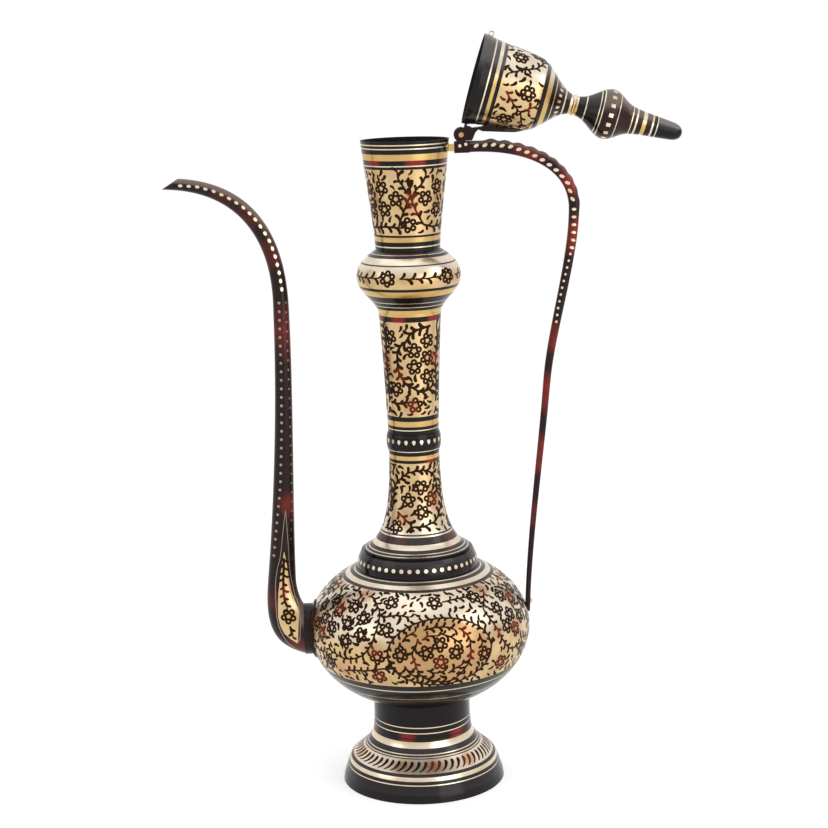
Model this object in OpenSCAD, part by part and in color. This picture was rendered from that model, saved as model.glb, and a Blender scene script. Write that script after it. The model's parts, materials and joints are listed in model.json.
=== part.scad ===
// Surahi: a long-necked enamelled brass ewer with a swan spout, a bow handle and a hinged bell lid.
// The origin is on the vessel's axis at the foot's base, +Z up, spout towards -X, handle towards +X.
// The lid is drawn open, resting on its stop, and turns about the hinge pin to close.

/* [Foot] */
// Radius of the foot at the ground
foot_r = 48.3; // [44:0.1:56]
// Height of the flared foot
foot_h = 33; // [28:0.5:42]
// Height of the upright edge at the ground
foot_edge_h = 4; // [2:0.5:7]
// Radius of the brow, where the edge turns into the flare
foot_brow_r = 43.4; // [40:0.1:44]
// Height of the brow
foot_brow_h = 14.6; // [11:0.1:18]
// Wall of the cast foot
foot_wall = 2; // [1.4:0.1:3]

/* [Stem] */
// Radius of the drum between foot and belly
stem_r = 28.8; // [26:0.1:32]
// Height of the drum
stem_h = 18.5; // [12:0.5:26]
// Wall of the drum
stem_wall = 3; // [2:0.1:5]

/* [Belly] */
// Radius of the belly at its widest
belly_r = 65.5; // [58:0.5:74]
// Half height of the oval that shapes the lower bowl
belly_low = 48; // [42:0.5:56]
// Half height of the oval that shapes the upper bowl
belly_high = 43.8; // [38:0.1:50]
// Wall of the spun bowls
belly_wall = 1.4; // [1:0.1:2.2]
// Height of the lap that joins the two bowls
belly_lap_h = 4; // [2:0.5:6]

/* [Shoulder] */
// Radius of the collar where it sits on the belly
shoulder_r = 35.6; // [34:0.1:40]
// Radius of the collar's top
shoulder_top_r = 32.8; // [32.2:0.1:35]
// Height of the collar
shoulder_h = 10.2; // [7:0.1:16]
// Radius of the collar's bore
shoulder_bore_r = 29.5; // [28:0.1:30.5]

/* [Neck] */
// Radius of the lower neck's flange
neck_flare_r = 31.2; // [30.8:0.1:32]
// Height of that flange
neck_flange_h = 1.2; // [0.8:0.1:3]
// Radius of the neck where the two lengths meet
neck_r = 14.8; // [13.5:0.1:16]
// Wall of the neck tubes
neck_wall = 1.6; // [1:0.1:2.2]
// Height of the lower neck
lower_neck_h = 60; // [46:0.5:76]
// Radius of the ring that couples the necks
neck_ring_r = 15.8; // [15.4:0.1:19]
// Height of the ring
neck_ring_h = 10.5; // [7:0.5:16]
// Height of the upper neck
upper_neck_h = 71; // [56:0.5:90]
// Radius of the upper neck at its top
upper_neck_r = 18.2; // [17.4:0.1:20]

/* [Bulb] */
// Radius of the hollow bulb
bulb_r = 30; // [26:0.5:36]
// Height of the bulb below its widest line
bulb_low_h = 20; // [16:0.5:26]
// Height of the bulb above its widest line
bulb_high_h = 15.5; // [13:0.5:20]
// Wall of the bulb at its widest line
bulb_wall = 1.5; // [1:0.1:2.5]
// Radius of the bulb's two openings
bulb_bore_r = 14.5; // [13.5:0.1:15]

/* [Mouth cup] */
// Radius of the cup's base
cup_base_r = 18.6; // [17.6:0.1:20]
// Radius of the mouth
mouth_r = 25.4; // [23:0.1:29]
// Height of the cup
cup_h = 62.3; // [48:0.1:76]
// Wall of the cup
cup_wall = 1.5; // [1:0.1:2.2]

/* [Spout] */
// Distance of the spout's axis below the belly's widest line
spout_drop = 1; // [0:0.5:5]
// Radius of the spout where it leaves its flange
spout_root_r = 15.2; // [13:0.1:16.8]
// Radius of the flange on the belly
spout_flange_r = 17.4; // [17.2:0.1:21]
// Height of the flange's neck above the belly
spout_flange_h = 2.5; // [1.6:0.1:5]
// Thickness of the flange's plate
spout_flange_t = 1; // [0.6:0.1:1.4]
// Radius of the hole from the belly into the spout
spout_hole_r = 11; // [7:0.5:12]
// Rise of the elbow above the spout's axis
spout_elbow_h = 30.4; // [24:0.2:38]
// Clear distance between the belly's side and the spout's column
spout_column_gap = 6.6; // [4:0.1:12]
// Width of the column at its foot
spout_column_w = 17.1; // [14:0.1:20]
// Depth of the column at its foot
spout_column_d = 14; // [11:0.2:18]
// Height of the column
spout_column_h = 161; // [130:1:190]
// How far the column leans towards the neck
spout_lean = 2.7; // [0:0.1:6]
// Width of the column at its top
spout_neck_w = 9.5; // [8:0.1:12]
// Depth of the column at its top
spout_neck_d = 8.8; // [8:0.1:11]
// Height of the bend above the column
spout_bend_h = 77.8; // [66:0.2:90]
// Reach of the lip's upper corner beyond the column
spout_reach = 60; // [50:0.5:74]
// Length of the pointed lip under the mouth of the spout
spout_lip = 10; // [7:0.2:14]
// Height of the cut at the lip
spout_lip_h = 6.3; // [5:0.1:8]
// Wall of the spout
spout_wall = 1.2; // [0.8:0.1:1.6]

/* [Handle] */
// Depth of the handle's line below the mouth, at the hinge
handle_below = 5.2; // [4.4:0.1:6]
// Height of the bar at the hinge
handle_top_t = 6.6; // [6:0.1:8]
// Height of the bar at its foot
handle_foot_t = 3; // [2.4:0.1:4]
// Depth of the bar at the hinge
handle_top_d = 6.8; // [6.4:0.1:9]
// Depth of the bar at its foot
handle_foot_d = 4; // [3.4:0.1:6]
// Reach of the bow beyond the hinge pin
handle_reach = 63.6; // [50:0.2:74]
// Depth of the bow's furthest point below the mouth
handle_drop = 42; // [34:0.5:54]
// Height of the knee above the handle's foot
handle_knee_h = 135; // [110:1:160]
// Distance of the knee outside the handle's foot
handle_knee_out = 14; // [8:0.2:22]
// Height of the foot above the belly's widest line
handle_foot_rise = 12; // [8:0.5:16]
// Number of beads along the bow's outer edge
bead_count = 10; // [6:1:14]
// Height of a bead
bead_h = 1.6; // [0.6:0.1:2.4]
// Radius of the rivet at the handle's foot
foot_rivet_r = 1; // [0.7:0.1:1.4]

/* [Hinge] */
// Distance of the pin outside the lid's rim
hinge_out = 6.2; // [5.8:0.1:9]
// Height of the pin above the mouth
hinge_rise = 1.7; // [1:0.1:2.4]
// Radius of the pin
pin_r = 1.4; // [1:0.1:1.8]
// Radius of the ears round the pin
ear_r = 4.2; // [3.8:0.1:4.6]
// Width of the knuckle between the ears
knuckle_w = 3; // [2.4:0.1:3.4]
// Radius of the knuckle
knuckle_r = 3.4; // [2.8:0.1:3.8]
// Depth of the brass lug's top below the mouth
lug_below = 3.4; // [2:0.1:4]
// Height of the brass lug
lug_h = 4; // [2.5:0.1:4]
// Depth of the brass lug
lug_d = 6; // [4:0.1:8]
// Angle between closed and open
open_angle = 106.4; // [96:0.2:108]

/* [Lid] */
// Overhang of the lid's rim beyond the mouth
lid_overhang = 0.5; // [0:0.1:1]
// Height of the lid's bell up to its dome
lid_flank_h = 36; // [30:0.5:44]
// Radius of the bell where the dome starts
lid_dome_r = 20.6; // [19:0.1:22]
// Height of the dome
lid_dome_h = 21.5; // [17:0.5:28]
// Radius of the lid's narrow waist
lid_waist_r = 5.5; // [5:0.1:7]
// Wall of the lid
lid_wall = 1.5; // [1:0.1:2.2]
// Height of the ring at the waist
waist_ring_h = 2.2; // [1.4:0.1:4]
// Length of the strap from the pin to its tip
strap_len = 38.4; // [34:0.2:41]
// Thickness of the strap's leaf
strap_t = 1.6; // [1:0.1:2.4]
// Width of the strap's leaf
strap_w = 9; // [7.2:0.2:12]
// Length of the heel that stops the lid
heel_len = 6.2; // [5.6:0.1:6.6]

/* [Finial] */
// Radius of the finial's bulb
finial_r = 14.3; // [12:0.1:17]
// Height of the bulb below its widest line
finial_low_h = 18.5; // [15:0.5:24]
// Height of the bulb above its widest line
finial_high_h = 13.3; // [11:0.1:18]
// Radius of the spire's foot
spire_r = 8.2; // [7:0.1:9]
// Radius of the spire below its rounded tip
spire_tip_r = 5.2; // [4.4:0.1:5.8]
// Height of the spire
spire_h = 31; // [25:0.5:40]
// Radius of the tenons that hold the finial together
tenon_r = 3; // [2.4:0.1:3.4]

/* [Fits] */
// Gap left for solder between fitted pieces
solder_gap = 0.1; // [0.05:0.01:0.2]
// Running clearance round the hinge pin
pin_fit = 0.05; // [0.02:0.01:0.1]
// Side clearance between the knuckle and the ears
knuckle_gap = 0.4; // [0.3:0.05:0.6]
// Gap between the closed lid and the mouth, and under the heel of the open lid
seat_gap = 0.3; // [0.2:0.05:0.5]
// Length of the spigots that join the turned pieces
spigot_h = 4; // [2.5:0.5:6]
// Wall of the spigots, and of the webs that carry them
spigot_wall = 1.4; // [1:0.1:2]

/* [Hidden] */
$fn = 96;

BLACK = "#1d1a1c";
BRASS = "#c9a04a";
GOLD = "#d8bb70";
RED = "#5a1c18";

// Points on a curved stretch of a turned outline
curve_n = 12;
// Points round a section of the spout and of the handle
section_n = 16;

// Levels of the stacked pieces
stem_top = foot_h + stem_h;
belly_mid = stem_top + belly_low * sqrt(1 - pow(stem_r / belly_r, 2));
belly_top = belly_mid + belly_high * sqrt(1 - pow(shoulder_r / belly_r, 2));
shoulder_top = belly_top + shoulder_h;
lower_neck_top = shoulder_top + lower_neck_h;
ring_top = lower_neck_top + neck_ring_h;
upper_neck_top = ring_top + upper_neck_h;
bulb_mid = upper_neck_top + bulb_low_h;
bulb_top = bulb_mid + bulb_high_h;
mouth_z = bulb_top + cup_h;

// The bowls' inner ovals, and where they open
bowl_in_r = belly_r - belly_wall;
bowl_in_low = belly_low - belly_wall;
bowl_in_high = belly_high - belly_wall;
bowl_mouth_r = bowl_in_r * sqrt(1 - pow((belly_top - belly_mid) / bowl_in_high, 2));
bowl_floor_z = stem_top + belly_wall;
lap_r = bowl_in_r * sqrt(1 - pow(belly_lap_h / bowl_in_high, 2)) - solder_gap;

// Bores that take spigots
stem_bore_r = stem_r - stem_wall;
neck_bore_r = neck_r - neck_wall;

// Lid, hinge and handle places
lid_z = mouth_z + seat_gap;
lid_rim_r = mouth_r + lid_overhang;
lid_top = lid_z + lid_flank_h + lid_dome_h;
waist_top = lid_top + waist_ring_h;
finial_mid = waist_top + finial_low_h;
finial_top = finial_mid + finial_high_h;
pin_x = lid_rim_r + hinge_out;
pin_z = mouth_z + hinge_rise;
handle_z = mouth_z - handle_below;
land_z = handle_z + handle_top_t / 2;
fork_in_x = pin_x - ear_r + solder_gap;
fork_out_x = pin_x + ear_r + seat_gap;
fork_slot = knuckle_w + 2 * knuckle_gap;
handle_foot_z = belly_mid + handle_foot_rise;
handle_foot_x = belly_at(handle_foot_z, solder_gap) + handle_foot_t / 2;
// The rivet's head stands clear of the foot, which leans outwards as it rises
rivet_clear = 0.5;
rivet_seat_x = handle_foot_x + handle_foot_t / 2 + rivet_clear;

// Spout places
spout_z = belly_mid - spout_drop;
spout_root_x = -belly_r - spout_flange_h;
column_z = spout_z + spout_elbow_h;
column_x = -belly_r - spout_column_gap;
bend_x = column_x + spout_lean;
bend_z = column_z + spout_column_h;

// A cubic curve with two end points and two pulls between them
function bez(p, t) =
    pow(1 - t, 3) * p[0] + 3 * t * pow(1 - t, 2) * p[1] + 3 * t * t * (1 - t) * p[2] + pow(t, 3) * p[3];
function bez_slope(p, t) =
    3 * pow(1 - t, 2) * (p[1] - p[0]) + 6 * t * (1 - t) * (p[2] - p[1]) + 3 * t * t * (p[3] - p[2]);
function curve(p, n = curve_n) = [for (i = [0:n]) bez(p, i / n)];
function flip(points) = [for (i = [len(points) - 1:-1:0]) points[i]];
function mix(a, b, t) = a + (b - a) * t;
function unit(v) = v / norm(v);

// Points of an oval between two angles, measured from its widest line
function oval(r, half_h, mid, from, to, n = 2 * curve_n) =
    [for (i = [0:n]) let (a = mix(from, to, i / n)) [r * cos(a), mid + half_h * sin(a)]];

// Radius of the belly's outside, grown by a gap, at a height
function belly_at(z, gap = 0) =
    let (half_h = z < belly_mid ? belly_low : belly_high)
    (belly_r + gap) * sqrt(1 - pow((z - belly_mid) / (half_h + gap), 2));

module turned(points) {
    rotate_extrude() polygon(points);
}

module along_x(x, z) {
    translate([x, 0, z]) rotate([0, 90, 0]) children();
}

module along_y(x, z) {
    translate([x, 0, z]) rotate([90, 0, 0]) children();
}

// Turns a piece of the closed lid to the open place
module opened() {
    translate([pin_x, 0, pin_z]) rotate([0, open_angle, 0]) translate([-pin_x, 0, -pin_z]) children();
}

// Triangles of the wall between the rings of a sweep; n points a ring, from point number first
function wall_faces(rings, n, first = 0) = [
    for (i = [0:rings - 2], j = [0:n - 1])
        let (a = first + i * n + j, b = first + i * n + (j + 1) % n)
        each [[a, b, a + n], [a + n, b, b + n]]
];
function turned_over(faces) = [for (f = faces) [f[2], f[1], f[0]]];
function all_points(rings) = [for (r = rings) each r];

// A solid bar through a list of rings
module bar(rings) {
    n = len(rings[0]);
    last = (len(rings) - 1) * n;
    ends = [for (j = [1:n - 2]) each [[0, j + 1, j], [last, last + j, last + j + 1]]];
    polyhedron(all_points(rings), concat(wall_faces(len(rings), n), ends));
}

// A pipe through a list of outer rings and a list of inner rings
module pipe(outer, inner) {
    n = len(outer[0]);
    m = len(outer);
    start = m * n;
    last = (m - 1) * n;
    ends = [
        for (j = [0:n - 1])
            let (k = (j + 1) % n)
            each [
                [k, j, start + j], [k, start + j, start + k],
                [last + j, last + k, start + last + j], [last + k, start + last + k, start + last + j]
            ]
    ];
    walls = concat(wall_faces(m, n), turned_over(wall_faces(m, n, start)));
    polyhedron(concat(all_points(outer), all_points(inner)), concat(walls, ends));
}

// Foot: a flared bell, open below
function foot_outline(inset) = concat(
    [[foot_r - inset, 0]],
    curve([
        [foot_r - 0.8 - inset, foot_edge_h],
        [mix(foot_r, foot_brow_r, 0.55) - inset, mix(foot_edge_h, foot_brow_h, 0.45)],
        [foot_brow_r + 1.2 - inset, foot_brow_h - 2],
        [foot_brow_r - inset, foot_brow_h]
    ]),
    curve([
        [foot_brow_r - inset, foot_brow_h],
        [mix(foot_brow_r, stem_r, 0.34) - inset, mix(foot_brow_h, foot_h, 0.24)],
        [stem_r + 1 - inset, mix(foot_brow_h, foot_h, 0.54)],
        [stem_r + 0.4 - inset, foot_h]
    ])
);

module foot() {
    color(BRASS) turned(concat(foot_outline(0), flip(foot_outline(foot_wall))));
}

// Stem drum: a short tube that stands on the foot, with a spigot inside it
module stem_drum() {
    spigot_r = stem_r + 0.4 - foot_wall - solder_gap;
    color(BLACK) turned([
        [stem_bore_r, foot_h - spigot_h],
        [min(spigot_r, stem_r), foot_h - spigot_h],
        [min(spigot_r, stem_r), foot_h],
        [stem_r + 0.4, foot_h],
        [stem_r, foot_h + stem_h / 4],
        [stem_r, stem_top],
        [stem_bore_r, stem_top]
    ]);
}

module spout_hole() {
    along_x(-belly_r - spout_flange_h, spout_z) cylinder(r = spout_hole_r, h = belly_r / 2);
}

// Lower bowl: floor, wall and the lap that enters the upper bowl
module lower_bowl() {
    lap_in_r = lap_r - belly_wall;
    floor_a = asin((bowl_floor_z - belly_mid) / bowl_in_low);
    spigot_r = stem_bore_r - solder_gap;
    color(GOLD) difference() {
        turned(concat(
            [
                [0, stem_top],
                [spigot_r - spigot_wall, stem_top],
                [spigot_r - spigot_wall, stem_top - spigot_h],
                [spigot_r, stem_top - spigot_h],
                [spigot_r, stem_top]
            ],
            oval(belly_r, belly_low, belly_mid, -acos(stem_r / belly_r), 0),
            [[lap_r, belly_mid], [lap_r, belly_mid + belly_lap_h], [lap_in_r, belly_mid + belly_lap_h]],
            oval(bowl_in_r, bowl_in_low, belly_mid, -acos(lap_in_r / bowl_in_r), floor_a),
            [[0, bowl_floor_z]]
        ));
        spout_hole();
    }
}

module rivet_shank(r) {
    start_x = handle_foot_x - handle_foot_t * 1.5 - belly_wall;
    along_x(start_x, handle_foot_z) cylinder(r = r, h = rivet_seat_x + solder_gap - start_x);
}

// Upper bowl: from the belly's widest line to the collar
module upper_bowl() {
    color(GOLD) difference() {
        turned(concat(
            oval(belly_r, belly_high, belly_mid, 0, acos(shoulder_r / belly_r)),
            oval(bowl_in_r, bowl_in_high, belly_mid, acos(bowl_mouth_r / bowl_in_r), 0)
        ));
        spout_hole();
        rivet_shank(foot_rivet_r + solder_gap);
    }
}

// Shoulder collar: a heavy ring over the belly's opening
module shoulder_collar() {
    spigot_r = bowl_mouth_r - solder_gap;
    color(BLACK) turned(concat(
        [
            [shoulder_bore_r, belly_top - spigot_h],
            [spigot_r, belly_top - spigot_h],
            [spigot_r, belly_top]
        ],
        curve([
            [shoulder_r, belly_top],
            [shoulder_r + 0.3, belly_top + shoulder_h * 0.4],
            [shoulder_top_r + 1.2, shoulder_top - shoulder_h * 0.2],
            [shoulder_top_r, shoulder_top]
        ]),
        [[shoulder_bore_r, shoulder_top]]
    ));
}

// Lower neck: a trumpet with a flange below
function lower_neck_outline(inset) = curve([
    [neck_flare_r - inset, shoulder_top + neck_flange_h],
    [mix(neck_r, neck_flare_r, 0.22) - inset, shoulder_top + neck_flange_h + lower_neck_h * 0.1],
    [neck_r - inset, shoulder_top + lower_neck_h * 0.44],
    [neck_r - inset, lower_neck_top]
], 2 * curve_n);

module lower_neck() {
    spigot_r = shoulder_bore_r - solder_gap;
    color(GOLD) turned(concat(
        [
            [spigot_r - spigot_wall, shoulder_top - spigot_h],
            [spigot_r, shoulder_top - spigot_h],
            [spigot_r, shoulder_top],
            [neck_flare_r, shoulder_top]
        ],
        lower_neck_outline(0),
        flip(lower_neck_outline(neck_wall)),
        [[spigot_r - spigot_wall, shoulder_top + neck_flange_h]]
    ));
}

// Neck ring: a coupling with a spigot each way
module neck_ring() {
    spigot_r = neck_bore_r - solder_gap;
    edge = neck_ring_h / 5;
    color(BLACK) turned([
        [spigot_r - spigot_wall, lower_neck_top - spigot_h],
        [spigot_r, lower_neck_top - spigot_h],
        [spigot_r, lower_neck_top],
        [neck_ring_r - 0.6, lower_neck_top],
        [neck_ring_r, lower_neck_top + edge],
        [neck_ring_r, ring_top - edge],
        [neck_ring_r - 0.6, ring_top],
        [spigot_r, ring_top],
        [spigot_r, ring_top + spigot_h],
        [spigot_r - spigot_wall, ring_top + spigot_h]
    ]);
}

// Upper neck: a slim tube that widens towards the bulb, with a spigot on top
function upper_neck_outline(inset, top) = curve([
    [neck_r - inset, ring_top],
    [neck_r + 0.8 - inset, mix(ring_top, top, 0.33)],
    [mix(neck_r, upper_neck_r, 0.5) - inset, mix(ring_top, top, 0.7)],
    [upper_neck_r - inset, top]
]);

module upper_neck() {
    spigot_r = bulb_bore_r - solder_gap;
    color(GOLD) turned(concat(
        upper_neck_outline(0, upper_neck_top),
        [
            [spigot_r, upper_neck_top],
            [spigot_r, upper_neck_top + spigot_h],
            [spigot_r - spigot_wall, upper_neck_top + spigot_h],
            [spigot_r - spigot_wall, upper_neck_top - spigot_wall]
        ],
        flip(upper_neck_outline(neck_wall, upper_neck_top - spigot_wall))
    ));
}

// Neck bulb: a hollow knop between neck and cup
module neck_bulb() {
    in_r = bulb_r - bulb_wall;
    lip = 1.5 * bulb_wall;
    color(GOLD) turned(concat(
        [[bulb_bore_r, upper_neck_top]],
        curve([
            [upper_neck_r + 0.1, upper_neck_top],
            [upper_neck_r + 1.8, upper_neck_top + bulb_low_h * 0.35],
            [bulb_r, upper_neck_top + bulb_low_h * 0.55],
            [bulb_r, bulb_mid]
        ]),
        curve([
            [bulb_r, bulb_mid],
            [bulb_r, bulb_mid + bulb_high_h * 0.45],
            [mix(cup_base_r, bulb_r, 0.6), bulb_top - bulb_high_h * 0.26],
            [cup_base_r + 0.2, bulb_top]
        ]),
        [[bulb_bore_r, bulb_top]],
        curve([
            [bulb_bore_r, bulb_top - lip],
            [mix(bulb_bore_r, in_r, 0.5), bulb_top - lip - bulb_high_h * 0.26],
            [in_r, bulb_mid + bulb_high_h * 0.35],
            [in_r, bulb_mid]
        ]),
        curve([
            [in_r, bulb_mid],
            [in_r, upper_neck_top + bulb_low_h * 0.6],
            [bulb_bore_r + 2, upper_neck_top + lip + bulb_low_h * 0.32],
            [bulb_bore_r, upper_neck_top + lip]
        ])
    ));
}

// Mouth cup: a tall flared beaker
function cup_outline(inset, base) = curve([
    [cup_base_r - inset, base],
    [cup_base_r + 0.9 - inset, mix(base, mouth_z, 0.3)],
    [mix(cup_base_r, mouth_r, 0.74) - inset, mix(base, mouth_z, 0.7)],
    [mouth_r - inset, mouth_z]
]);

module mouth_cup() {
    spigot_r = bulb_bore_r - solder_gap;
    color(GOLD) turned(concat(
        [
            [spigot_r - spigot_wall, bulb_top - spigot_h],
            [spigot_r, bulb_top - spigot_h],
            [spigot_r, bulb_top]
        ],
        cup_outline(0, bulb_top),
        flip(cup_outline(cup_wall, bulb_top + spigot_wall)),
        [[spigot_r - spigot_wall, bulb_top + spigot_wall]]
    ));
}

// The belly's outside as a solid, grown by a gap, for shaping what is soldered to it
module belly_form(gap = solder_gap) {
    turned(concat(
        [[0, belly_mid - belly_low - gap]],
        oval(belly_r + gap, belly_low + gap, belly_mid, -90, 0),
        oval(belly_r + gap, belly_high + gap, belly_mid, 0, 90),
        [[0, belly_mid + belly_high + gap]]
    ));
}

// Spout flange: a saddle on the belly that carries the spout
module spout_flange() {
    depth = spout_flange_h + spout_flange_r / 2;
    color(BLACK) difference() {
        union() {
            along_x(spout_root_x, spout_z) cylinder(r = spout_root_r, h = depth);
            intersection() {
                along_x(spout_root_x, spout_z) cylinder(r = spout_flange_r, h = depth);
                belly_form(solder_gap + spout_flange_t);
            }
        }
        along_x(spout_root_x - 1, spout_z) cylinder(r = spout_root_r - spout_wall, h = depth + 2);
        belly_form();
    }
}

// The spout's edge towards the neck, which becomes its back at the bend
inner_edge = [
    [
        [spout_root_x, spout_z + spout_root_r],
        [mix(spout_root_x, column_x, 0.3), spout_z + spout_root_r + 2.2],
        [column_x + 0.6, mix(spout_z + spout_root_r, column_z, 0.45)],
        [column_x, column_z]
    ],
    [
        [column_x, column_z],
        [column_x, column_z + spout_column_h * 0.26],
        [bend_x + 0.5, column_z + spout_column_h * 0.69],
        [bend_x, bend_z]
    ],
    [
        [bend_x, bend_z],
        [bend_x, bend_z + spout_bend_h * 0.6],
        [bend_x - spout_reach * 0.32, bend_z + spout_bend_h * 0.955],
        [bend_x - spout_reach, bend_z + spout_bend_h]
    ]
];
// The spout's outer edge, which becomes its underside and the lip
column_out_x = column_x - spout_column_w;
bend_out_x = bend_x - spout_neck_w;
lip_x = bend_x - spout_reach - spout_lip;
lip_z = bend_z + spout_bend_h - spout_lip_h;
outer_edge = [
    [
        [spout_root_x, spout_z - spout_root_r],
        [mix(spout_root_x, column_out_x, 0.74), spout_z - spout_root_r * 0.72],
        [column_out_x - 4.7, spout_z - spout_root_r * 0.22],
        [column_out_x, column_z]
    ],
    [
        [column_out_x, column_z],
        [column_out_x + 4.4, column_z + spout_column_h * 0.22],
        [bend_out_x, column_z + spout_column_h * 0.63],
        [bend_out_x, bend_z]
    ],
    [
        [bend_out_x, bend_z],
        [bend_out_x + 1.6, bend_z + spout_bend_h * 0.49],
        [mix(bend_out_x, lip_x, 0.24), lip_z - 1],
        [lip_x, lip_z]
    ]
];
spout_depths = [2 * spout_root_r, spout_column_d, spout_neck_d, spout_neck_d];
spout_steps = [10, 10, 16];

// Rings of the spout, inset by a wall: an oval between the two edges at each step
function spout_rings(inset) = [
    for (s = [0:2], i = [s == 0 ? 0 : 1:spout_steps[s]])
        let (
            t = i / spout_steps[s],
            a = bez(inner_edge[s], t),
            b = bez(outer_edge[s], t),
            mid = (a + b) / 2,
            half = unit(b - a) * (norm(b - a) / 2 - inset),
            deep = mix(spout_depths[s], spout_depths[s + 1], s == 0 ? pow(t, 0.7) : t) / 2 - inset
        )
        [
            for (j = [0:section_n - 1])
                let (turn = 360 * j / section_n, p = mid + half * cos(turn))
                [p[0], deep * sin(turn), p[1]]
        ]
];

module spout() {
    color(BLACK) pipe(spout_rings(0), spout_rings(spout_wall));
}

// The handle's line: over the bow, down to the knee, then to its foot on the belly
bow_x = pin_x + handle_reach;
bow_z = mouth_z - handle_drop;
knee_x = handle_foot_x + handle_knee_out;
knee_z = handle_foot_z + handle_knee_h;
foot_end_z = handle_foot_z - 2 * handle_foot_t;
handle_line = [
    [
        [fork_out_x, handle_z],
        [mix(fork_out_x, bow_x, 0.52), handle_z + 0.8],
        [bow_x, mix(bow_z, handle_z, 0.73)],
        [bow_x, bow_z]
    ],
    [
        [bow_x, bow_z],
        [bow_x, mix(bow_z, knee_z, 0.27)],
        [knee_x + 2.4, mix(bow_z, knee_z, 0.74)],
        [knee_x, knee_z]
    ],
    [
        [knee_x, knee_z],
        [knee_x - 3.4, mix(knee_z, foot_end_z, 0.28)],
        [handle_foot_x + 1.4, mix(knee_z, foot_end_z, 0.68)],
        [handle_foot_x, foot_end_z]
    ]
];
handle_steps = [4 * (bead_count + 1), 8, 12];
handle_thick = [
    handle_top_t,
    mix(handle_top_t, handle_foot_t, 0.1),
    mix(handle_top_t, handle_foot_t, 0.6),
    handle_foot_t
];
handle_deep = [
    handle_top_d,
    mix(handle_top_d, handle_foot_d, 0.3),
    mix(handle_top_d, handle_foot_d, 0.7),
    handle_foot_d
];

// Height of the beads at a share of the bow, after a plain land for the lid's heel
function bead(t) =
    let (u = t * (bead_count + 1) - 1)
    u <= 0 ? 0 : bead_h * abs(sin(180 * u)) * (1 - 0.75 * t);

// Corners of a section are rounded off by this power of the sine and cosine
handle_corner = 0.7;
function corner(v) = sign(v) * pow(abs(v), handle_corner);

function handle_rings() = [
    for (s = [0:2], i = [s == 0 ? 0 : 1:handle_steps[s]])
        let (
            t = i / handle_steps[s],
            mid = bez(handle_line[s], t),
            way = i == 0 && s == 0 ? [1, 0] : unit(bez_slope(handle_line[s], t)),
            out = [-way[1], way[0]],
            half = mix(handle_thick[s], handle_thick[s + 1], t) / 2,
            deep = mix(handle_deep[s], handle_deep[s + 1], t) / 2,
            rise = s == 0 ? bead(t) : 0
        )
        [
            for (j = [0:section_n - 1])
                let (
                    turn = 360 * j / section_n,
                    c = corner(cos(turn)),
                    p = mid + out * (c * half + max(c, 0) * rise)
                )
                [p[0], -deep * corner(sin(turn)), p[1]]
        ]
];

module handle() {
    color(RED) difference() {
        bar(handle_rings());
        belly_form();
        rivet_shank(foot_rivet_r + solder_gap);
    }
}

// Rivet through the handle's foot and the belly's wall
module handle_rivet() {
    head_r = 1.8 * foot_rivet_r;
    color(BRASS) {
        rivet_shank(foot_rivet_r);
        along_x(rivet_seat_x, handle_foot_z) cylinder(r1 = head_r, r2 = foot_rivet_r, h = foot_rivet_r);
    }
}

// Lug: the brass block that holds the handle to the mouth cup
module handle_lug() {
    top_z = mouth_z - lug_below;
    color(BRASS) difference() {
        translate([cup_base_r, -lug_d / 2, top_z - lug_h]) cube([fork_in_x - cup_base_r, lug_d, lug_h]);
        turned(concat(
            [[0, bulb_top]],
            [for (p = cup_outline(-solder_gap, bulb_top)) p],
            [[0, mouth_z]]
        ));
    }
}

// Hinge fork: the block at the handle's end, with two ears for the pin
module hinge_fork() {
    low_z = handle_z - handle_top_t / 2;
    color(BLACK) difference() {
        union() {
            translate([fork_in_x, -handle_top_d / 2, low_z])
                cube([fork_out_x - fork_in_x, handle_top_d, handle_top_t]);
            along_y(pin_x, pin_z) cylinder(r = ear_r, h = handle_top_d, center = true);
        }
        translate([fork_in_x - 1, -fork_slot / 2, land_z]) cube([2 * ear_r + 3, fork_slot, 2 * ear_r]);
        along_y(pin_x, pin_z) cylinder(r = knuckle_r + seat_gap, h = fork_slot, center = true);
        along_y(pin_x, pin_z) cylinder(r = pin_r + pin_fit, h = handle_top_d + 2, center = true);
    }
}

// Hinge pin, with its ends peened just proud of the ears
module hinge_pin() {
    color(BRASS) along_y(pin_x, pin_z) cylinder(r = pin_r, h = handle_top_d + 0.8, center = true);
}

// Outline of the lid from its rim to its waist, inset by a wall
function lid_flank(inset) = curve([
    [lid_rim_r - 0.2 - inset, lid_z + lid_flank_h / 12],
    [mix(lid_dome_r, lid_rim_r, 0.5) - inset, lid_z + lid_flank_h * 0.28],
    [mix(lid_dome_r, lid_rim_r, 0.5) - inset, lid_z + lid_flank_h * 0.72],
    [lid_dome_r - inset, lid_z + lid_flank_h]
]);
function lid_dome() = curve([
    [lid_dome_r, lid_z + lid_flank_h],
    [mix(lid_waist_r, lid_dome_r, 0.86), lid_z + lid_flank_h + lid_dome_h * 0.33],
    [lid_waist_r + 1.5, lid_z + lid_flank_h + lid_dome_h * 0.6],
    [lid_waist_r, lid_top]
]);
function lid_outline() = concat([[lid_rim_r, lid_z]], lid_flank(0), lid_dome());
lid_ceiling = lid_z + lid_flank_h + lid_dome_h * 0.45;

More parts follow.
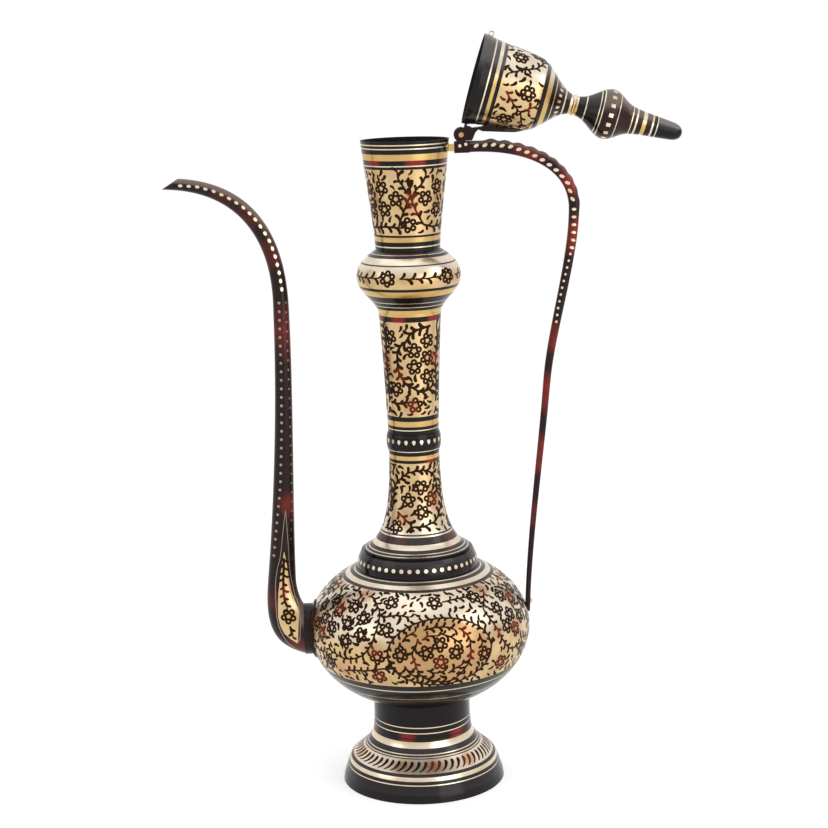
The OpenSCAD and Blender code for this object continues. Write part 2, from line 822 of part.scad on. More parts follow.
// Lid bell: hollow to its ceiling, with a bore through its waist
module lid_bell() {
    bore = tenon_r + solder_gap;
    color(GOLD) opened() turned(concat(
        lid_outline(),
        [[bore, lid_top], [bore, lid_ceiling]],
        curve([
            [mix(bore, lid_dome_r, 0.28), lid_ceiling],
            [mix(bore, lid_dome_r, 0.5), lid_ceiling - lid_wall * 0.6],
            [lid_dome_r - 1.8 * lid_wall, mix(lid_z + lid_flank_h, lid_ceiling, 0.35)],
            [lid_dome_r - lid_wall, lid_z + lid_flank_h]
        ]),
        flip(lid_flank(lid_wall)),
        [[lid_rim_r - lid_wall, lid_z]]
    ));
}

// The lid's outside as a solid, grown by the solder gap
module lid_form() {
    turned(concat(
        [[0, lid_z]],
        [for (p = lid_outline()) [p[0] + solder_gap, p[1]]],
        [[0, lid_top]]
    ));
}

// Side view of the strap's leaf on the closed lid, seen from the pin
module leaf_side() {
    flank = lid_dome_r - pin_x;
    rise = hinge_rise - seat_gap;
    root = -knuckle_r - 1;
    polygon([
        [0, 0],
        [0.2, 5.6],
        [-5.3, 8.6],
        [-hinge_out + 1.2, 11.2],
        [flank + strap_t + 2.2, lid_flank_h * 0.68 - rise],
        [flank + strap_t + 0.9, lid_flank_h * 0.84 - rise],
        [-sqrt(pow(strap_len, 2) - pow(lid_flank_h + 0.5, 2)) - 0.5, lid_flank_h + 0.5],
        [flank - 0.5, lid_flank_h * 0.8 - rise],
        [-hinge_out - 3, 12],
        [-hinge_out - 1, 9.5],
        [root, 2.2],
        [-hinge_out - 1, 1.6],
        [-hinge_out - 1, 0.4],
        [root, 0.4]
    ]);
}

// Side view of the heel that meets the handle's land on the open lid, seen from the pin
module heel_side() {
    sole = land_z + seat_gap - pin_z;
    polygon([[0, sole], [heel_len, sole], [heel_len + 2.6, 2.6], [heel_len - 2, 5], [0, knuckle_r]]);
}

// Outline of the leaf seen from the side of the lid
module leaf_plan() {
    w = strap_w / 2;
    heel_w = handle_top_d / 2;
    polygon([
        [-heel_w, 0],
        [-heel_w, 7],
        [-w * 0.8, 11],
        [-w, strap_len * 0.6],
        [-w * 0.7, strap_len * 0.8],
        [0, strap_len],
        [w * 0.7, strap_len * 0.8],
        [w, strap_len * 0.6],
        [w * 0.8, 11],
        [heel_w, 7],
        [heel_w, 0]
    ]);
}

module at_pin() {
    translate([pin_x, 0, pin_z]) children();
}

// Extrudes a side view across the strap
module across(w) {
    rotate([90, 0, 0]) linear_extrude(w, center = true) children();
}

// Lid strap: knuckle, heel and a leaf along the lid's flank
module lid_strap() {
    clear_r = ear_r + seat_gap;
    color(BLACK) difference() {
        union() {
            along_y(pin_x, pin_z) cylinder(r = knuckle_r, h = knuckle_w, center = true);
            opened() difference() {
                intersection() {
                    at_pin() across(strap_w) difference() {
                        leaf_side();
                        circle(r = clear_r);
                    }
                    at_pin() translate([-strap_len, 0, 0]) rotate([90, 0, 90])
                        linear_extrude(strap_len + heel_len) leaf_plan();
                }
                lid_form();
            }
            opened() difference() {
                at_pin() across(knuckle_w) intersection() {
                    leaf_side();
                    circle(r = clear_r + 1);
                }
                lid_form();
            }
            at_pin() across(knuckle_w) heel_side();
            at_pin() across(handle_top_d) difference() {
                heel_side();
                circle(r = clear_r);
            }
        }
        along_y(pin_x, pin_z) cylinder(r = pin_r + pin_fit, h = strap_w, center = true);
    }
}

// Lid loop: a small wire ring on the lid's rim, opposite the hinge
module lid_loop() {
    loop_r = 1.3;
    wire_r = 0.45;
    color(BRASS) opened() difference() {
        along_y(-lid_rim_r - loop_r * 0.6, lid_z + lid_flank_h / 10)
            rotate_extrude() translate([loop_r, 0]) circle(r = wire_r, $fn = 24);
        lid_form();
    }
}

// Ring at the lid's waist
module waist_ring() {
    bore = tenon_r + solder_gap;
    r = lid_waist_r + 0.6;
    color(BRASS) opened() turned([
        [bore, lid_top],
        [lid_waist_r, lid_top],
        [r, lid_top + waist_ring_h * 0.3],
        [r, lid_top + waist_ring_h * 0.7],
        [lid_waist_r, waist_top],
        [bore, waist_top]
    ]);
}

// Round nut inside the lid that holds the finial's tenon
module finial_nut() {
    nut_h = 2.5;
    color(BRASS) opened() turned([
        [tenon_r + solder_gap, lid_ceiling - nut_h],
        [tenon_r + 2, lid_ceiling - nut_h],
        [tenon_r + 2, lid_ceiling],
        [tenon_r + solder_gap, lid_ceiling]
    ]);
}

// Finial bulb: turned solid, with a tenon below and a socket above
module finial_bulb() {
    socket = tenon_r + solder_gap;
    color(BLACK) opened() turned(concat(
        [
            [0, lid_ceiling - 3],
            [tenon_r, lid_ceiling - 3],
            [tenon_r, waist_top]
        ],
        curve([
            [lid_waist_r, waist_top],
            [lid_waist_r + 0.1, waist_top + finial_low_h * 0.42],
            [finial_r - 0.9, waist_top + finial_low_h * 0.64],
            [finial_r, finial_mid]
        ]),
        curve([
            [finial_r, finial_mid],
            [finial_r, finial_mid + finial_high_h * 0.44],
            [spire_r + 1.8, finial_mid + finial_high_h * 0.62],
            [spire_r, finial_top]
        ]),
        [[socket, finial_top], [socket, finial_top - spigot_h - 1], [0, finial_top - spigot_h - 1]]
    ));
}

// Finial spire: a tapered point with a rounded tip
module finial_spire() {
    tip_z = finial_top + spire_h;
    round_h = 1.45 * spire_tip_r;
    color(BLACK) opened() turned(concat(
        [[0, finial_top - spigot_h], [tenon_r, finial_top - spigot_h], [tenon_r, finial_top]],
        curve([
            [spire_r, finial_top],
            [mix(spire_tip_r, spire_r, 0.4), finial_top + spire_h * 0.21],
            [mix(spire_tip_r, spire_r, 0.37), finial_top + spire_h * 0.47],
            [spire_tip_r, tip_z - round_h]
        ]),
        curve([
            [spire_tip_r, tip_z - round_h],
            [spire_tip_r - 0.2, tip_z - round_h * 0.4],
            [spire_tip_r * 0.67, tip_z],
            [0, tip_z]
        ])
    ));
}

foot();
stem_drum();
lower_bowl();
upper_bowl();
shoulder_collar();
lower_neck();
neck_ring();
upper_neck();
neck_bulb();
mouth_cup();
spout_flange();
spout();
handle();
handle_rivet();
handle_lug();
hinge_fork();
hinge_pin();
lid_bell();
lid_strap();
lid_loop();
waist_ring();
finial_nut();
finial_bulb();
finial_spire();
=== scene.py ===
# %% [markdown]
# # An inlaid brass ewer
# A surahi is a long-necked pouring vessel, turned from brass on a lathe. Its maker covers the brass with
# black and red lacquer, and cuts bands, flowers and vines through it, down to the bright metal. This lesson
# dresses the plain solids of such a ewer: it turns each piece again with its bands, lays the flowers on as
# thin plates, and gives every surface the gloss of polished brass or lacquer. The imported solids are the
# frame, and nothing here moves them.

# %% Frame
import json
from collections import namedtuple
from math import atan2, cos, degrees, hypot, pi, radians, sin

import bmesh
import bpy
from mathutils import Matrix, Vector


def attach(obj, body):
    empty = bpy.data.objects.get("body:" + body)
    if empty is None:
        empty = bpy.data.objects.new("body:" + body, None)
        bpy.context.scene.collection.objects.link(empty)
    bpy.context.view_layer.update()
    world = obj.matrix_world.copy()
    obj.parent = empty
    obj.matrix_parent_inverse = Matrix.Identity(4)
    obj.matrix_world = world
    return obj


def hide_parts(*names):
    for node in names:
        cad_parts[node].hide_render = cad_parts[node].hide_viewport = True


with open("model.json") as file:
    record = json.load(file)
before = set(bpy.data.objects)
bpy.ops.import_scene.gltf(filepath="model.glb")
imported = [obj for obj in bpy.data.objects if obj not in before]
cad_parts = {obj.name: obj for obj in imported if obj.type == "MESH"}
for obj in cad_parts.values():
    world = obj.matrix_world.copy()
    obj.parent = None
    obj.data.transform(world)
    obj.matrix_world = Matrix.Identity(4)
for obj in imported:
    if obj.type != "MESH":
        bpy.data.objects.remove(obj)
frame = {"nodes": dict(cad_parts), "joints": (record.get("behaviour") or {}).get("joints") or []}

scene = bpy.context.scene
scene.view_settings.view_transform = "Standard"
MM = 0.001
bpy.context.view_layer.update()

# %% [markdown]
# ## Camera
# The photograph looks slightly down on the ewer, from about a metre in front of it, and the ewer leans a
# little to the left in it. So the camera stands in front on the -Y side, pitched down, and is rolled a
# little about its own axis. A long lens keeps the two ends of the neck almost the same size.

# %% Camera
PHOTO_PX = 828
FOCAL_PX = 1985
SENSOR_MM = 36
CAMERA_BACK = 1135 * MM
CAMERA_UP = 449 * MM
CAMERA_RIGHT = 0.6 * MM
PITCH_DOWN = radians(11.32)
ROLL = radians(1.764)

lens = bpy.data.cameras.new("camera")
lens.sensor_width = SENSOR_MM
lens.lens = SENSOR_MM * FOCAL_PX / PHOTO_PX
lens.clip_end = 100
camera = bpy.data.objects.new("camera", lens)
scene.collection.objects.link(camera)
camera.matrix_world = (
    Matrix.Translation((CAMERA_RIGHT, -CAMERA_BACK, CAMERA_UP))
    @ Matrix.Rotation(pi / 2 - PITCH_DOWN, 4, "X")
    @ Matrix.Rotation(-ROLL, 4, "Z")
)
scene.camera = camera
print("lens", round(lens.lens, 1), "mm")

# %% [markdown]
# ## Helpers
# Materials and geometry trees are both graphs of nodes. Writing each node as one call, with its inputs
# either linked or set, keeps the graphs short enough to read.


# %% Helpers
def feed(tree, node, inputs):
    """Gives a node its inputs; each is linked to a socket, or set to a plain value."""
    for key, value in inputs.items():
        if isinstance(value, bpy.types.NodeSocket):
            tree.links.new(value, node.inputs[key])
        else:
            node.inputs[key].default_value = value


def add(tree, kind, inputs=None, **settings):
    """Adds a node with its settings and its inputs."""
    made = tree.nodes.new(kind)
    for key, value in settings.items():
        setattr(made, key, value)
    feed(tree, made, inputs or {})
    return made


def calc(tree, operation, *values):
    """The result of a Math node."""
    return add(tree, "ShaderNodeMath", dict(enumerate(values)), operation=operation).outputs[0]


def new_object(name, data):
    """A new object at the origin."""
    made = bpy.data.objects.new(name, data)
    scene.collection.objects.link(made)
    return made


# %% [markdown]
# ## Studio
# Polished metal shows its surroundings, so the room matters as much as the metal. The background is white
# to the camera and in reflections. A soft window stands high at the right, which washes out the shoulder of
# the belly as in the photograph, and a wide panel hangs overhead. One more panel at the left and one low at
# the right draw the bright upright streaks on cup and neck. The floor is pale and keeps the shadow.

# %% Studio
WORLD_LIGHT = 0.5
FLOOR_HALF = 30
FLOOR_Z = -0.1 * MM
FLOOR_GREY = (0.86, 0.86, 0.86, 1)
FLOOR_GLOW = 0.58


def seen_white(tree):
    """1 for rays from the camera, a reflection or clear glass, and 0 for light that falls on a surface."""
    path = add(tree, "ShaderNodeLightPath")
    shown = calc(tree, "MAXIMUM", path.outputs["Is Camera Ray"], path.outputs["Is Glossy Ray"])
    return calc(tree, "MAXIMUM", shown, path.outputs["Is Transmission Ray"])


world = bpy.data.worlds.new("studio")
world.use_nodes = True
scene.world = world
sky = world.node_tree
sky.nodes.clear()
glow = calc(sky, "MULTIPLY_ADD", seen_white(sky), 1 - WORLD_LIGHT, WORLD_LIGHT)
air = add(sky, "ShaderNodeBackground", {"Color": (1, 1, 1, 1), "Strength": glow})
add(sky, "ShaderNodeOutputWorld", {"Surface": air.outputs[0]})

floor_finish = bpy.data.materials.new("pale_floor")
floor_finish.use_nodes = True
ground = floor_finish.node_tree
ground.nodes.clear()
matt = add(ground, "ShaderNodeBsdfDiffuse", {"Color": FLOOR_GREY})
lit = calc(ground, "MULTIPLY", seen_white(ground), FLOOR_GLOW)
shine = add(ground, "ShaderNodeEmission", {"Strength": lit})
matt_and_shine = add(ground, "ShaderNodeAddShader", {0: matt.outputs[0], 1: shine.outputs[0]})
add(ground, "ShaderNodeOutputMaterial", {"Surface": matt_and_shine.outputs[0]})

corners = [(x * FLOOR_HALF, y * FLOOR_HALF, FLOOR_Z) for x, y in ((-1, -1), (1, -1), (1, 1), (-1, 1))]
floor_mesh = bpy.data.meshes.new("floor")
floor_mesh.from_pydata(corners, [], [(0, 1, 2, 3)])
floor_mesh.materials.append(floor_finish)
floor = new_object("floor", floor_mesh)


def softbox(name, place, aim, size, radiance):
    """A square area lamp of a given radiance, turned towards a point."""
    lamp = bpy.data.lights.new(name, "AREA")
    lamp.size = size
    lamp.energy = radiance * pi * size * size
    holder = new_object(name, lamp)
    way = Vector(aim) - Vector(place)
    holder.matrix_world = Matrix.Translation(place) @ way.to_track_quat("-Z", "Y").to_matrix().to_4x4()


softbox("window", (1.05, -0.40, 0.92), (0, 0, 0.18), size=0.50, radiance=2.5)
softbox("ceiling", (-0.10, 0.15, 1.60), (0, 0, 0.2), size=1.4, radiance=0.5)
softbox("left_panel", (-1.30, -0.70, 0.80), (0, 0, 0.2), size=0.7, radiance=1.0)
softbox("right_panel", (0.88, -1.10, 0.46), (0, 0, 0.2), size=0.9, radiance=1.7)
print("studio:", len(bpy.data.lights), "lamps")

# %% [markdown]
# ## Finishes
# Every finish of the ewer is brass or lacquer. Its soft changes come from noise in the piece's own Object
# coordinates. What follows the drawing, such as a dab of red, can't come from noise, so the pieces hold it
# as a number at each point, and the finish reads that number by its name.


# %% Finishes
def shader(name):
    """A new material: itself, its tree, its Principled shader and its Object coordinates."""
    material = bpy.data.materials.new(name)
    material.use_nodes = True
    tree = material.node_tree
    tree.nodes.clear()
    surface = add(tree, "ShaderNodeBsdfPrincipled")
    add(tree, "ShaderNodeOutputMaterial", {"Surface": surface.outputs["BSDF"]})
    place = add(tree, "ShaderNodeTexCoord").outputs["Object"]
    return material, tree, surface, place


def noise(tree, place, scale, detail=2.0):
    """Noise in a pattern space, about 0.5."""
    return add(tree, "ShaderNodeTexNoise", {"Vector": place, "Scale": scale, "Detail": detail}).outputs["Fac"]


def held(tree, name):
    """A number that the piece holds at each of its points, or 0 where it holds none."""
    return add(tree, "ShaderNodeAttribute", attribute_name=name).outputs["Fac"]


def ramp(tree, factor, *stops):
    """A colour ramp through (position, colour) stops."""
    made = add(tree, "ShaderNodeValToRGB", {"Fac": factor})
    for element, (position, colour) in zip(made.color_ramp.elements, stops):
        element.position = position
        element.color = (*colour, 1)
    return made.outputs["Color"]


def mixed(tree, share, first, second, blend="MIX"):
    """Two colours mixed by a share."""
    colours = {0: share, 6: first, 7: second}
    return add(tree, "ShaderNodeMix", colours, data_type="RGBA", blend_type=blend).outputs[2]


def bumped(tree, height, strength, distance):
    """The normal of a surface with a fine relief."""
    relief = {"Height": height, "Strength": strength, "Distance": distance}
    return add(tree, "ShaderNodeBump", relief).outputs["Normal"]


# %% [markdown]
# ### Brass
# Brass from the lathe has fine lines that follow each piece's own turning, so they read a UV map that the
# turned pieces get. The ground under the flowers is paler than the plain bands, thin cuts are paler still,
# and the dots and lines on the spout have gone dull with use. The number amber warms the ground where the
# maker tinted it. Walls that face upwards are paler: a painted reflection of the bright room overhead, by a
# number that says how far each wall faces upwards.

# %% Brass
BRASS, BRASS_WARM = (0.61, 0.41, 0.155), (0.60, 0.35, 0.13)
GROUND, GROUND_WARM = (0.645, 0.468, 0.25), (0.61, 0.40, 0.185)
GROUND_AMBER = (0.50, 0.305, 0.145)
PALE, PALE_WARM = (0.78, 0.68, 0.51), (0.75, 0.59, 0.39)
WORN, WORN_WARM = (0.38, 0.30, 0.25), (0.32, 0.23, 0.18)
# Painted reflection: the paler colour of brass walls that face upwards, standing for the bright room
# overhead.
PAINTED_REFLECTION = (0.79, 0.70, 0.565)
TARNISHED = (0.86, 0.82, 0.76)
CLEAN = (1, 1, 1)
PATCHES_PER_M = 42
TARNISH_PER_M = 90
LATHE_LINES = (60, 2600, 1)
LINE_DEPTH = 0.05 * MM
ROUGH_SWING = 0.12


def brass_finish(name, bright, warm, rough, amber=None):
    """Turned brass: warmer patches, paler walls facing upwards as a painted reflection, a little tarnish, and
    the lathe's fine lines.
    """
    material, tree, surface, place = shader(name)
    colour = ramp(tree, noise(tree, place, PATCHES_PER_M), (0.52, bright), (0.72, warm))
    # Walls that face upwards are mixed towards the paler colour: a painted reflection of the room's light.
    colour = mixed(tree, held(tree, "painted_light_share"), colour, (*PAINTED_REFLECTION, 1))
    if amber:
        colour = mixed(tree, held(tree, "amber"), colour, (*amber, 1))
    tarnish = ramp(tree, noise(tree, place, TARNISH_PER_M, detail=4), (0.3, TARNISHED), (0.62, CLEAN))
    along = add(tree, "ShaderNodeUVMap", uv_map="turning").outputs["UV"]
    lines = add(tree, "ShaderNodeMapping", {"Vector": along, "Scale": LATHE_LINES}).outputs["Vector"]
    grain = noise(tree, lines, scale=1, detail=1)
    feed(tree, surface, {
        "Base Color": mixed(tree, 1.0, colour, tarnish, "MULTIPLY"),
        "Normal": bumped(tree, grain, strength=0.10, distance=LINE_DEPTH),
        "Roughness": calc(tree, "MULTIPLY_ADD", grain, ROUGH_SWING, rough - ROUGH_SWING / 2),
        "Metallic": 1})
    return material


FINISH = {
    "brass": brass_finish("bright_brass", BRASS, BRASS_WARM, rough=0.24),
    "field": brass_finish("engraved_ground", GROUND, GROUND_WARM, rough=0.30, amber=GROUND_AMBER),
    "pale": brass_finish("pale_cut_brass", PALE, PALE_WARM, rough=0.28),
    "worn": brass_finish("worn_brass", WORN, WORN_WARM, rough=0.34),
}
print("brass:", ", ".join(FINISH))

# %% [markdown]
# ### Lacquer
# The lacquer is black, brown or maroon, and the maker rubbed soft dabs of red into it. The number red says
# where a dab lies, and noise frays its edge. Where lacquer faces upwards, a grey painted sheen stands for the
# room's light on its gloss, by the same number that makes upward brass paler. The lid lies open on its side,
# and its bell gets a stronger painted sheen than the vessel's black, and the tip of its spire a painted
# highlight. The inside of cup and lid is dark and dull.

# %% Lacquer
BLACK = (0.0065, 0.0035, 0.003)
RED_DAB = (0.34, 0.021, 0.018)
# Painted sheen on upward lacquer: grey, warm, stronger grey for the lid's bell, and a painted highlight.
PAINTED_SHEEN = (0.070, 0.056, 0.060)
PAINTED_SHEEN_WARM = (0.27, 0.195, 0.165)
PAINTED_SHEEN_COOL = (0.17, 0.15, 0.15)
PAINTED_HIGHLIGHT = (0.30, 0.29, 0.29)
PAINTED_SHEEN_SHARE = 0.75
FRAY_PER_M = 160
FRAY_SWING = 0.7
WEAR_PER_M = 700
WEAR_DEPTH = 0.08 * MM
WEAR_SWING = 0.14


def lacquer_finish(name, dark, red=RED_DAB, gloss=0.2, sheen_colour=PAINTED_SHEEN, rough=0.09):
    """Lacquer under a thin gloss: dark, red where the piece holds a dab, and a painted sheen where it faces
    upwards.
    """
    material, tree, surface, place = shader(name)
    fray = noise(tree, place, FRAY_PER_M, detail=3)
    dab = calc(tree, "SUBTRACT", held(tree, "red"), FRAY_SWING / 2)
    dab = calc(tree, "MULTIPLY_ADD", fray, FRAY_SWING, dab)
    colour = ramp(tree, dab, (0.2, dark), (0.95, red))
    # A painted sheen where the lacquer faces upwards, standing for the room's light on its gloss.
    sheen_amount = calc(tree, "MULTIPLY", calc(tree, "POWER", held(tree, "painted_light_share"), 2.0), PAINTED_SHEEN_SHARE)
    wear = noise(tree, place, WEAR_PER_M, detail=3)
    feed(tree, surface, {
        "Base Color": mixed(tree, sheen_amount, colour, (*sheen_colour, 1)),
        "Normal": bumped(tree, wear, strength=0.03, distance=WEAR_DEPTH),
        "Roughness": calc(tree, "MULTIPLY_ADD", wear, WEAR_SWING, rough),
        "Specular IOR Level": gloss})
    return material


FINISH.update({
    "black": lacquer_finish("black_lacquer", BLACK),
    "vine": lacquer_finish("vine_lacquer", (0.036, 0.013, 0.003), red=(0.19, 0.028, 0.010), gloss=0.05),
    "brown": lacquer_finish("brown_lacquer", (0.026, 0.008, 0.006), sheen_colour=PAINTED_SHEEN_WARM),
    # The lid's bell takes a stronger painted sheen, and the tip of its spire a painted highlight.
    "sheen": lacquer_finish("painted_sheen_lacquer", BLACK, sheen_colour=PAINTED_SHEEN_COOL),
    "tip": lacquer_finish("painted_highlight_lacquer", BLACK, sheen_colour=PAINTED_HIGHLIGHT),
    "spout": lacquer_finish("smoky_lacquer", (0.020, 0.0085, 0.0065), red=(0.19, 0.022, 0.015), gloss=0.18,
                            sheen_colour=PAINTED_SHEEN_WARM),
    "handle": lacquer_finish("maroon_lacquer", (0.022, 0.0075, 0.0065), red=(0.32, 0.028, 0.02), gloss=0.18,
                             sheen_colour=PAINTED_SHEEN_WARM),
    "inside": lacquer_finish("dark_dull_inside", (0.020, 0.018, 0.018), gloss=0.1, rough=0.6),
})
print("all finishes:", ", ".join(FINISH))

# %% [markdown]
# ## Outlines
# Every turned piece is a ring-shaped solid, so its mesh is a stack of rings. Each ring has one radius and
# one height, and mesh edges lead from ring to ring. Following them gives the outline that a turner would
# cut, with no numbers copied from the model. Only the front of each ring is read, away from the holes for
# spout and handle. The lid rests open, so its rings are first turned back about the hinge.

# %% Outlines
RING_CELL = 0.02 * MM
FRONT_SHARE = 0.6
hinge = frame["joints"][0]
hinge_place = Matrix.Translation(hinge["pos_m"])
closing = Matrix.Rotation(radians(hinge["range_deg"][1]), 4, Vector(hinge["axis"]))
CLOSE_LID = hinge_place @ closing @ hinge_place.inverted()
VESSEL = ["foot", "stem_drum", "lower_bowl", "upper_bowl", "shoulder_collar", "lower_neck", "neck_ring",
          "upper_neck", "neck_bulb", "mouth_cup"]
LID = ["lid_bell", "waist_ring", "finial_bulb", "finial_spire"]


def rings_of(node, upright):
    """The (radius, height) of each ring of a node, and which rings its edges join."""
    mesh = frame["nodes"][node].data
    rings, cells, index = [], {}, []
    for vertex in mesh.vertices:
        x, y, z = upright @ vertex.co
        r = hypot(x, y)
        if y > -FRONT_SHARE * r:
            index.append(None)
            continue
        cell = (round(r / RING_CELL), round(z / RING_CELL))
        near = [(cell[0] + i, cell[1] + j) for i in (0, -1, 1) for j in (0, -1, 1)]
        known = next((cells[c] for c in near if c in cells), None)
        if known is None:
            known = cells[cell] = len(rings)
            rings.append((r, z))
        index.append(known)
    links = [set() for _ in rings]
    for edge in mesh.edges:
        a, b = (index[v] for v in edge.vertices)
        if a is not None and b is not None and a != b:
            links[a].add(b)
            links[b].add(a)
    return rings, links


def outline(node, upright):
    """The outline of a turned node as (radius, height) points, and whether it closes on itself."""
    rings, links = rings_of(node, upright)
    ends = [i for i, near in enumerate(links) if len(near) == 1]
    walk = [ends[0] if ends else 0]
    onward = list(links[walk[-1]])
    while onward:
        walk.append(onward[0])
        onward = [i for i in links[walk[-1]] if i not in walk]
    return [rings[i] for i in walk], not ends


outlines = {node: outline(node, CLOSE_LID if node in LID else Matrix()) for node in VESSEL + LID}
for node, (points, closed) in outlines.items():
    print(node, len(points), "corners,", "closed" if closed else "open")

# %% [markdown]
# ## Walls
# Only one stretch of each outline shows: the one with nothing of the ewer further out at its height. It is
# the wall that carries the bands. Vessel and lid are looked at one by one, since the lid stands open.

# %% Walls
SHOWN_SLACK = 0.02 * MM


def stretches(points, closed):
    """The straight stretches of an outline."""
    return list(zip(points, points[1:] + points[:1])) if closed else list(zip(points, points[1:]))


def widest_at(height, nodes):
    """The largest radius that any of these nodes has at a height."""
    widest = 0
    for node in nodes:
        for (r0, z0), (r1, z1) in stretches(*outlines[node]):
            if z0 != z1 and min(z0, z1) <= height <= max(z0, z1):
                widest = max(widest, r0 + (r1 - r0) * (height - z0) / (z1 - z0))
    return widest


def wall_of(node, nodes):
    """A node's outline in three runs: what comes before its wall, the wall from its foot up, and the rest."""
    points, closed = outlines[node]
    shown = [abs(z1 - z0) > RING_CELL and (r0 + r1) / 2 > widest_at((z0 + z1) / 2, nodes) - SHOWN_SLACK
             for (r0, z0), (r1, z1) in stretches(points, closed)]
    start = next(i for i in range(len(shown)) if shown[i] and not shown[i - 1])
    if closed:
        points = points[start:] + points[:start]
        shown = shown[start:] + shown[:start]
        start = 0
    stop = start
    while stop < len(shown) and shown[stop]:
        stop += 1
    before, wall, after = points[:start], points[start:stop + 1], points[stop + 1:]
    if wall[0][1] > wall[-1][1]:
        wall.reverse()
        before, after = (before, after[::-1]) if closed else (after[::-1], before[::-1])
    return before, wall, after


walls = {node: wall_of(node, group) for group in (VESSEL, LID) for node in group}
for node, (before, wall, after) in walls.items():
    print(node, len(wall), "of", len(before + wall + after), "corners show")

# %% [markdown]
# ## Smooth walls
# A turner's tool leaves a smooth wall, where the solids have short straight stretches. A Hermite curve
# through the corners takes the facets out of the silhouette, and it breaks where the tool made a real edge.

# %% Smooth walls
WALL_STEP = 1.0 * MM
SHARP_TURN = radians(18)


def smooth_wall(corners):
    """A smooth line through the corners of a wall, with a point for each step."""
    corners = [Vector(c) for c in corners]
    chords = [(b - a).normalized() for a, b in zip(corners, corners[1:])]
    leaving, arriving = [chords[0]], []
    for a, b in zip(chords, chords[1:]):
        even = (a + b).normalized()
        sharp = a.angle(b) > SHARP_TURN
        arriving.append(a if sharp else even)
        leaving.append(b if sharp else even)
    arriving.append(chords[-1])
    line = [corners[0]]
    for a, b, out, into in zip(corners, corners[1:], leaving, arriving):
        span = (b - a).length
        count = max(1, round(span / WALL_STEP))
        for t in (i / count for i in range(1, count + 1)):
            ease = t * t * (3 - 2 * t)
            bow = t * (1 - t) * span
            line.append(a.lerp(b, ease) + bow * ((1 - t) * out - t * into))
    return line


def lengths_along(line):
    """The length along a line at each of its points."""
    lengths = [0.0]
    for a, b in zip(line, line[1:]):
        lengths.append(lengths[-1] + (b - a).length)
    return lengths


smooth = {node: smooth_wall(wall) for node, (_, wall, _) in walls.items()}
for node, line in smooth.items():
    print(node, "wall", round(lengths_along(line)[-1] / MM, 1), "mm")

# %% [markdown]
# ## Bands on a wall
# The bands lie at set lengths along each wall. Black lacquer is the full surface, and brass shows where it
# is cut away, so every brass band lies a tenth of a millimetre deeper. The wall becomes a list of rings,
# and each of them says which finish follows it. The rest of the outline, which doesn't show, has one
# finish.

# %% Bands on a wall
CUT = 0.10 * MM
CUT_BANDS = ("brass", "field", "pale")
LEAST_STEP = 0.05 * MM
DOWN = Vector((0, -1))
Ring = namedtuple("Ring", "radius height along finish dabs out")


def place_on(line, lengths, at):
    """The point and the outward normal of a wall at a length along it."""
    i = next((i for i in range(1, len(line) - 1) if lengths[i] >= at), len(line) - 1)
    share = (at - lengths[i - 1]) / (lengths[i] - lengths[i - 1])
    way = (line[i] - line[i - 1]).normalized()
    return line[i - 1].lerp(line[i], share), Vector((way.y, -way.x))


def banded_rings(node, bands, hidden, dabs):
    """The rings of a turned piece; the finish and the dabs are those of the stretch that follows a ring."""
    before, _, after = walls[node]
    line = smooth[node]
    lengths = lengths_along(line)
    rings = [Ring(r, z, 0.0, hidden, [], DOWN) for r, z in before]
    low = 0.0
    for finish, high in bands:
        high = min(high, lengths[-1])
        depth = CUT if finish in CUT_BANDS else 0
        inner = [s for s in lengths if low + LEAST_STEP < s < high - LEAST_STEP]
        own = [(at, half) for up, at, half in dabs if low < up * MM < high]
        for s in [low, *inner, high]:
            point, out = place_on(line, lengths, s)
            point = point - depth * out
            rings.append(Ring(point.x, point.y, s, finish, own, out))
        low = high
    rings[-1] = rings[-1]._replace(finish=hidden, dabs=[], out=DOWN)
    rings += [Ring(r, z, lengths[-1], hidden, [], DOWN) for r, z in after]
    return rings


print("brass lies", round(CUT / MM, 2), "mm deep")

# %% [markdown]
# ## Turning
# Turning the rings round the axis gives one mesh for each piece, with a finish for each band, a UV map for
# the lathe's lines, and the piece's own inside. A dab of red keeps to its band, fades towards its two ends,
# and comes back on each third of the way round. How far a wall faces upwards, as the piece stands, is kept
# too, for the painted reflection on brass and the painted sheen on lacquer there.

# %% Turning
ROUND_STEPS = 160
FROM_FRONT = [360 * k / ROUND_STEPS + 90 for k in range(ROUND_STEPS)]
THIRD = 120
WALL_TILT = 0.06
SHOULDER_RISE = 0.4
SHARP_EDGE = radians(30)


def clamp(value):
    """A value kept between 0 and 1."""
    return min(1, max(0, value))


def from_middle(degrees_round, at):
    """The degrees between a place and the nearest copy of another, when each third round is alike."""
    return (degrees_round - at + THIRD / 2) % THIRD - THIRD / 2


def dab_at(dabs, degrees_round):
    """How red a band is at an angle from the front: 1 in the middle of a dab, and 0 past its ends."""
    away = [abs(from_middle(degrees_round, at)) / half for at, half in dabs]
    return max((cos(pi / 2 * min(1, x)) for x in away), default=0)


def facing_up(normal_z):
    """How far a surface faces upwards, from 0 for a wall to 1 for a shoulder."""
    return clamp((normal_z - WALL_TILT) / SHOULDER_RISE)


def hold(mesh, name, values, kind="FLOAT"):
    """Lets a mesh hold a number at each of its points."""
    mesh.attributes.new(name, kind, "POINT").data.foreach_set("value", values)


